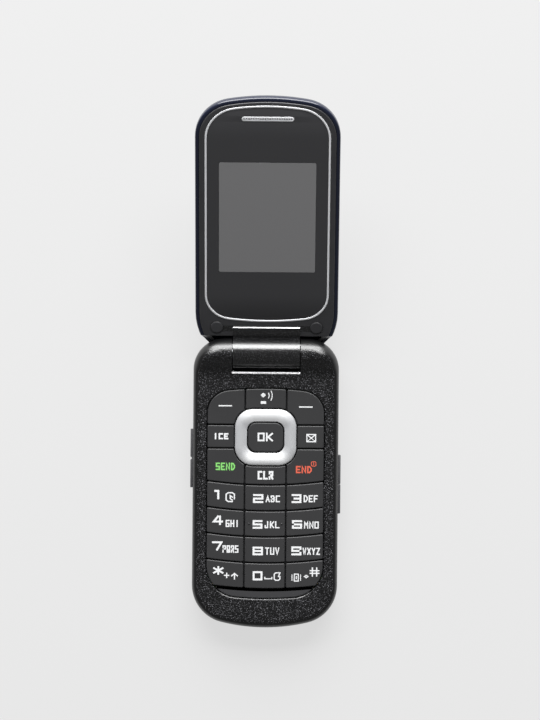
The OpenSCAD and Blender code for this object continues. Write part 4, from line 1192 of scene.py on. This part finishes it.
lid_black = finish(
    "lid_black", grain,
    {"Base": srgb(52, 52, 54), "Fleck": srgb(92, 92, 95), "Size": 4200, "Flecks": 0.3,
     "Rough": 0.3},
    0.02 * mm, Specular_IOR_Level=0.5,
)
# Same grained moulding as the bezel, painted much darker for the barrel and neck: painted shade
# that offsets the back lamp's stronger light on them
barrel_black = finish(
    "barrel_black", grain,
    {"Base": srgb(8, 8, 9), "Fleck": srgb(110, 110, 113), "Size": 3600, "Flecks": 0.5,
     "Rough": 0.12},
    0.03 * mm, Specular_IOR_Level=1.0,
)
edge = [(lid_face - 0.3 * mm, 0.0)]
for a in (20, 40, 60, 80, 90):
    t = math.radians(a)
    edge.append((lid_face - 0.3 * mm * (1 - math.sin(t)), 0.3 * mm * (1 - math.cos(t))))
inner = lid_body("inner_housing", parting, lid_floor + 0.1 * mm - lid_back, edge, lid_black)
inner.data.materials.append(barrel_black)
inside = loft("lid_inside", [level(lid_plan(2.6 * mm), lid_floor - 1 * mm),
                             level(lid_plan(2.6 * mm), lid_face - face_wall)])
towers = [rod("tower", (s * plug_x, plug_y, -12 * mm), (s * plug_x, plug_y, 0),
              plug_r + 0.9 * mm, 48)
          for s in (-1, 1)]
combine(inside, towers + [block("neck_room", -barrel_half, barrel_half, -9 * mm,
                                face_end - 1 * mm, -20 * mm, 9 * mm)])
cove, behind = lid_end_cuts()
combine(inner, [inside, behind, cove])
barrel = rod("barrel", (-barrel_half, 0, 0), (barrel_half, 0, 0), barrel_r, 160)
neck = prism(
    "neck",
    [(0, lid_floor + 3.2 * mm), (cove_r, lid_floor + 0.1 * mm), (neck_l, lid_floor + 0.1 * mm),
     (neck_l, neck_top), (cove_r - 1 * mm, neck_top), (barrel_r - 1 * mm, 0), (0, 0)],
    -barrel_half, barrel_half,
)
groove = prism(
    "neck_groove",
    [(neck_l, neck_top), (neck_l + groove_l, neck_top - groove_h), (neck_l + groove_l, 5 * mm),
     (neck_l, 5 * mm)],
    -barrel_half, barrel_half,
)
combine(inner, [barrel, neck], "UNION")
panel_seat = loft("panel_seat", [level(face_plan(-line_w), lid_face - panel_t),
                                 level(face_plan(-line_w), 5 * mm)])
cuts = [
    panel_seat,
    groove,
    rod("cartridge_bore", (-barrel_half - 1 * mm, 0, 0), (cartridge_end, 0, 0), 3.5 * mm, 48),
    rod("flex_bore", (flex_x0 - 0.3 * mm, 0, 0), (flex_x0 + 5.3 * mm, 0, 0), 3.5 * mm, 48),
    rod("bush_bore", (flex_x0 + 5 * mm, 0, 0), (barrel_half + 1 * mm, 0, 0), 2.76 * mm, 48),
    block("display_window", -screen_w / 2 - 0.5 * mm, screen_w / 2 + 0.5 * mm,
          screen_y - screen_h / 2 - 0.5 * mm, screen_y + screen_h / 2 + 0.5 * mm,
          -20 * mm, 9 * mm),
    cap("sound_port", [level(round_plan(16.7 * mm, 1.2 * mm, 0.59 * mm, 0, slot_y), h)
                       for h in (-20 * mm, 9 * mm)]),
]
for s in (-1, 1):
    x = s * plug_x
    cuts += [
        rod("plug_hole", (x, plug_y, lid_face - 1.4 * mm), (x, plug_y, 5 * mm),
            plug_r + 0.12 * mm, 64),
        rod("head_hole", (x, plug_y, lid_face - 2.4 * mm), (x, plug_y, 0), 1.5 * mm, 32),
        rod("shank_hole", (x, plug_y, -12 * mm), (x, plug_y, 0), 0.65 * mm, 24),
    ]
combine(inner, cuts)
inner.data.materials.append(rubbed_edge)
for face in inner.data.polygons:
    x, y, h = face.center
    # Barrel and neck faces take the darker, painted-shade copy
    if abs(x) < barrel_half + 0.01 * mm and y < neck_l + 0.1 * mm and h > -barrel_r - 0.1 * mm:
        face.material_index = 1
    # The neck groove's slope that faces along the lid and up takes the painted highlight
    in_groove = abs(x) < barrel_half and neck_l < y < neck_l + groove_l
    if in_groove and face.normal.y > 0.5 and face.normal.z > 0.3:
        face.material_index = 2
shade(inner, 28)
lay_in_lid(inner, "lid_inner_housing")

# ---- Lid face: panel, silver line, screen window ---------------------------------------------
# A flush black face panel inside a thin bright line, with the screen's clear window set in it.
# The panel is stuck down, and the line is a plated frame clipped round it.

face_black = finish(
    "face_black", skin,
    {"Base": srgb(58, 58, 60), "Dust": srgb(110, 110, 112), "Dusty": 0.15, "Rough": 0.3,
     "Uneven": 0.08, "Fine": 7000},
    0.003 * mm, Specular_IOR_Level=0.45,
)
panel = loft(
    "panel_plate",
    [level(face_plan(0.03 * mm), lid_face - panel_t),
     level(face_plan(0.03 * mm), lid_face - 0.12 * mm),
     level(face_plan(0.07 * mm), lid_face - 0.03 * mm), level(face_plan(0.16 * mm), lid_face)],
    face_black,
)
window_plan = round_plan(screen_w, screen_h, 0.7 * mm, 0, screen_y)
cuts = [
    cap("window_seat", [level(window_plan, h) for h in (lid_face - 0.35 * mm, 5 * mm)]),
    cap("slot_seat", [level(round_plan(17.3 * mm, 1.7 * mm, 0.85 * mm, 0, slot_y), h)
                      for h in (-9 * mm, 5 * mm)]),
]
combine(panel, cuts)
shade(panel, 28)
lay_in_lid(panel, "face_panel")

line_profile = [(0.0, -0.75), (0.0, 0.02), (0.1, 0.08), (0.25, 0.11), (0.5, 0.12), (0.75, 0.11),
                (0.9, 0.08), (1.0, 0.02), (1.0, -0.75)]
bright_trim = finish(
    "bright_trim", skin,
    {"Base": srgb(236, 237, 240), "Dust": srgb(190, 190, 190), "Dusty": 0.1, "Rough": 0.45,
     "Uneven": 0.08, "Fine": 9000},
    0.003 * mm, Metallic=0.3,
)
rings = [level(face_plan(-line_w * (1 - share)), lid_face + height * mm)
         for share, height in line_profile]
line = hoop("silver_line_frame", rings, bright_trim)
shade(line, 50)
lay_in_lid(line, "silver_line")

screen_gap = 0.05 * mm
plate = round_plan(screen_w - 2 * screen_gap, screen_h - 2 * screen_gap, 0.65 * mm, 0, screen_y)
# The window's pale grey is a painted reflection of overhead light in the dark screen
display_glass = finish(
    "display_glass", skin,
    {"Base": srgb(122, 122, 123), "Dust": srgb(150, 150, 150), "Dusty": 0.1, "Rough": 0.2,
     "Uneven": 0.05, "Fine": 9000},
    0.001 * mm, Specular_IOR_Level=0.3,
)
window = cap(
    "screen_window",
    [level(plate, lid_face - 0.34 * mm), level(plate, lid_face - 0.06 * mm),
     level(drawn_in(plate, 0.06 * mm), lid_face - 0.01 * mm)],
    display_glass,
)
shade(window, 28)
lay_in_lid(window, None)

# ---- Earpiece grille and screw plugs ---------------------------------------------------------
# A bright pill-shaped grille with a row of fine holes, and two round plugs over the lid screws.

grille = cap("grille_pill", [
    level(round_plan(17.2 * mm, 1.6 * mm, 0.8 * mm, 0, slot_y), lid_face - 0.75 * mm),
    level(round_plan(17.2 * mm, 1.6 * mm, 0.8 * mm, 0, slot_y), lid_face + 0.02 * mm),
    level(round_plan(17.0 * mm, 1.4 * mm, 0.7 * mm, 0, slot_y), lid_face + 0.1 * mm),
    level(round_plan(16.8 * mm, 1.2 * mm, 0.6 * mm, 0, slot_y), lid_face + 0.12 * mm),
], bright_trim)
holes = [rod("hole", (x, slot_y, -9 * mm), (x, slot_y, 5 * mm), 0.31 * mm, 16)
         for x in ((i / 20 - 0.5) * 15.6 * mm for i in range(21))]
combine(grille, holes)
shade(grille, 35)
lay_in_lid(grille, "earpiece_grille")


def turned(name, profile, cx, cy, steps=64, material=None):
    """Closed round piece from (radius, height) points, from the bottom middle to the top."""
    rings = [[(cx + r * math.cos(t), cy + r * math.sin(t), h)
              for t in (2 * math.pi * i / steps for i in range(steps))] for r, h in profile]
    return cap(name, rings, material)


plugs = None
for s in (-1, 1):
    plug = turned("screw_plug_caps", [
        (2.1 * mm, lid_face - 1.35 * mm), (2.12 * mm, lid_face + 0.02 * mm),
        (2.06 * mm, lid_face + 0.12 * mm), (1.9 * mm, lid_face + 0.18 * mm),
        (1.6 * mm, lid_face + 0.19 * mm), (0.3 * mm, lid_face + 0.17 * mm),
    ], s * plug_x, plug_y, 64, lid_black)
    plugs = gather(plugs, [plug]) if plugs else plug
shade(plugs, 50)
lay_in_lid(plugs, "screw_plugs")

# ---- Outer window and camera lens ------------------------------------------------------------
# On the lid's outside: a clear dark pane over the outer screen and a domed lens in a dark ring.
# Both are hard-coated plastic set in the navy cover.

window_gloss = finish(
    "window_gloss", skin,
    {"Base": srgb(16, 17, 20), "Dust": srgb(120, 120, 124), "Dusty": 0.15, "Rough": 0.06,
     "Uneven": 0.02, "Fine": 2000},
    0.0005 * mm, Coat_Weight=0.5,
)
pane_low, pane_high = lid_back, lid_back + 1.2 * mm
rim_plan = round_plan(window_w - 0.1 * mm, window_h - 0.1 * mm, 1.45 * mm, 0, screen_out_y)
pane = cap("outer_pane", [
    level(drawn_in(rim_plan, 0.25 * mm), pane_low + 0.02 * mm),
    level(drawn_in(rim_plan, 0.1 * mm), pane_low + 0.08 * mm),
    level(rim_plan, pane_low + 0.2 * mm), level(rim_plan, pane_high),
], window_gloss)
shade(pane, 30)
lay_in_lid(pane, "outer_window")
lens_ring = finish(
    "lens_ring", skin,
    {"Base": srgb(60, 61, 64), "Dust": srgb(130, 130, 130), "Rough": 0.35, "Fine": 5000},
    0.003 * mm, Metallic=0.6,
)
lens = turned("lens", [
    (0.3 * mm, lid_back + 0.1 * mm), (1.0 * mm, lid_back + 0.14 * mm),
    (1.6 * mm, lid_back + 0.24 * mm), (1.75 * mm, lid_back + 0.5 * mm),
    (1.75 * mm, lid_back + 1.1 * mm),
], 0, camera_y, 64, window_gloss)
bezel = turned("lens_bezel", [
    (2.0 * mm, lid_back + 0.45 * mm), (2.4 * mm, lid_back + 0.12 * mm),
    (3.2 * mm, lid_back + 0.02 * mm), (3.5 * mm, lid_back + 0.12 * mm),
    (camera_r - 0.02 * mm, lid_back + 0.3 * mm),
    (camera_r - 0.02 * mm, lid_back + 1.2 * mm),
], 0, camera_y, 64, lens_ring)
combine(bezel, [turned("lens_seat", [(1.78 * mm, lid_back - 1 * mm), (1.78 * mm, 2 * mm)],
                       0, camera_y, 64)])
shade(lens, 40)
shade(bezel, 40)
lay_in_lid(bezel, "camera_lens")
lay_in_lid(lens, None)

# ---- Inside pieces ---------------------------------------------------------------------------
# Battery, boards, sockets, screws and hinge parts keep their CAD form. Each gets its own skin:
# a wrapped cell, green boards, stamped steel, gold contacts, moulded plastic, amber film.

# Circuit board: solder mask with paler tracks on a grid and small square pads
board, given, out = effect(
    "circuit_board",
    {"Mask": ("colour", (0.01, 0.1, 0.03, 1)), "Track": ("colour", (0.05, 0.25, 0.08, 1)),
     "Pad": ("colour", (0.6, 0.5, 0.25, 1)), "Pitch": ("value", 900)},
)
place = put(board, "ShaderNodeTexCoord").outputs["Object"]
cells = put(board, "ShaderNodeTexVoronoi",
            {"Vector": place, "Scale": given["Pitch"], "Randomness": 0.35},
            distance="CHEBYCHEV")
edges = put(board, "ShaderNodeTexBrick",
            {"Vector": place, "Scale": given["Pitch"], "Mortar Size": 0.04})
pads = put(board, "ShaderNodeMapRange",
           {"Value": cells.outputs["Distance"], "From Min": 0.16, "From Max": 0.2,
            "To Min": 1, "To Max": 0})
lines = put(board, "ShaderNodeMix",
            {0: edges.outputs["Fac"], 6: given["Mask"], 7: given["Track"]}, data_type="RGBA")
mixed = put(board, "ShaderNodeMix", {0: pads.outputs[0], 6: lines.outputs[2], 7: given["Pad"]},
            data_type="RGBA")
rough = put(board, "ShaderNodeMath", {0: pads.outputs[0], 1: -0.15, 2: 0.45},
            operation="MULTIPLY_ADD")
give(board, out, mixed.outputs[2], rough.outputs[0], pads.outputs[0])

green_board = finish(
    "green_board", board,
    {"Mask": srgb(18, 74, 40), "Track": srgb(40, 110, 60), "Pad": srgb(205, 180, 110),
     "Pitch": 900},
    0.01 * mm,
)
battery_wrap = finish(
    "battery_wrap", skin,
    {"Base": srgb(186, 188, 190), "Dust": srgb(120, 120, 120), "Rough": 0.42, "Fine": 1800},
    0.01 * mm, Metallic=0.1,
)
gold_plate = finish(
    "gold_plate", skin,
    {"Base": srgb(222, 186, 108), "Dust": srgb(130, 110, 80), "Rough": 0.26, "Fine": 9000},
    0.002 * mm, Metallic=0.95,
)
stamped_steel = finish(
    "stamped_steel", skin,
    {"Base": srgb(176, 178, 182), "Dust": srgb(110, 110, 110), "Rough": 0.34, "Uneven": 0.2,
     "Fine": 4500},
    0.004 * mm, Metallic=0.9,
)
turned_steel = finish(
    "turned_steel", skin,
    {"Base": srgb(140, 141, 144), "Dust": srgb(90, 90, 90), "Rough": 0.28, "Fine": 7000},
    0.003 * mm, Metallic=0.95,
)
clear_film = finish(
    "clear_film", skin,
    {"Base": srgb(205, 206, 200), "Dust": srgb(150, 150, 150), "Rough": 0.2, "Fine": 2500},
    0.004 * mm,
)
amber_film = finish(
    "amber_film", skin,
    {"Base": srgb(196, 128, 44), "Dust": srgb(120, 90, 50), "Rough": 0.3, "Fine": 3000},
    0.004 * mm,
)
display_module = finish(
    "display_module", skin,
    {"Base": srgb(118, 119, 121), "Dust": srgb(150, 150, 150), "Rough": 0.15, "Fine": 9000},
    0.001 * mm,
)
for node, material in {
    "battery": battery_wrap, "battery_contacts": gold_plate, "sim_sockets": stamped_steel,
    "main_board": green_board, "dome_sheet": clear_film, "usb_connector": stamped_steel,
    "headset_jack": socket_plastic, "microphone": turned_steel, "loudspeaker": socket_plastic,
    "vibration_motor": turned_steel, "antenna": gold_plate, "base_screws": turned_steel,
    "nav_carrier": stamped_steel, "main_display": display_module,
    "earpiece_speaker": socket_plastic,
    "lid_board": green_board, "outer_display": display_module, "camera_module": socket_plastic,
    "lid_screws": turned_steel, "hinge_cartridge": turned_steel, "hinge_shaft": turned_steel,
    "hinge_bush": socket_plastic, "flex_cable": amber_film,
}.items():
    for slot in frame["nodes"][node].material_slots:
        slot.material = material

# ---- Stage and camera ------------------------------------------------------------------------
# A plain pale table top under a wide soft light, seen from straight above.

floor_half = 3.0
floor = mesh_piece(
    "floor",
    [(-floor_half, -floor_half, 0), (floor_half, -floor_half, 0), (floor_half, floor_half, 0),
     (-floor_half, floor_half, 0)],
    [[0, 1, 2, 3]],
)
floor.data.materials.append(finish(
    "table_top", skin, {"Base": (0.1, 0.1, 0.1, 1), "Dusty": 0.0, "Rough": 0.7}, 0.0,
    Specular_IOR_Level=0.0, Emission_Color=(1, 1, 1, 1), Emission_Strength=0.66,
))

camera_data = bpy.data.cameras.new("camera")
camera = bpy.data.objects.new("camera", camera_data)
bpy.context.collection.objects.link(camera)
forward = Vector((-0.00306, -0.02289, -0.99973)).normalized()
up = Vector((-0.00855, 0.99970, -0.02286)).normalized()
right = forward.cross(up).normalized()
up = right.cross(forward)
turn = Matrix((right, up, -forward)).transposed().to_4x4()
camera.matrix_world = Matrix.Translation(Vector((5.0, 69.7, 1237.8)) * mm) @ turn
camera_data.sensor_fit = "HORIZONTAL"
camera_data.sensor_width = 36
camera_data.lens = 3636.9 * 36 / 540
camera_data.clip_start = 0.01
camera_data.clip_end = 10
bpy.context.scene.camera = camera

world = bpy.data.worlds.new("studio")
bpy.context.scene.world = world
world.use_nodes = True
sky = world.node_tree.nodes["Background"].inputs
sky["Color"].default_value = (1, 1, 1, 1)
sky["Strength"].default_value = 0.16


def softbox(name, azimuth, height, distance, size, radiance):
    """Lamp that looks at the phone's middle from so many degrees round from +Y, and up."""
    data = bpy.data.lights.new(name, "AREA")
    data.shape = "RECTANGLE"
    data.size, data.size_y = size
    data.energy = radiance * math.pi * size[0] * size[1]
    lamp = bpy.data.objects.new(name, data)
    bpy.context.collection.objects.link(lamp)
    a, e = math.radians(azimuth), math.radians(height)
    aim = Vector((0, 0.04, 0))
    away = Vector((math.sin(a) * math.cos(e), math.cos(a) * math.cos(e), math.sin(e)))
    lamp.location = aim + away * distance
    lamp.rotation_mode = "QUATERNION"
    lamp.rotation_quaternion = (-away).to_track_quat("-Z", "Y")
    return lamp


softbox("back_bank", 0, 27, 1.2, (1.5, 1.15), 13.0)

bpy.context.scene.view_settings.view_transform = "Standard"
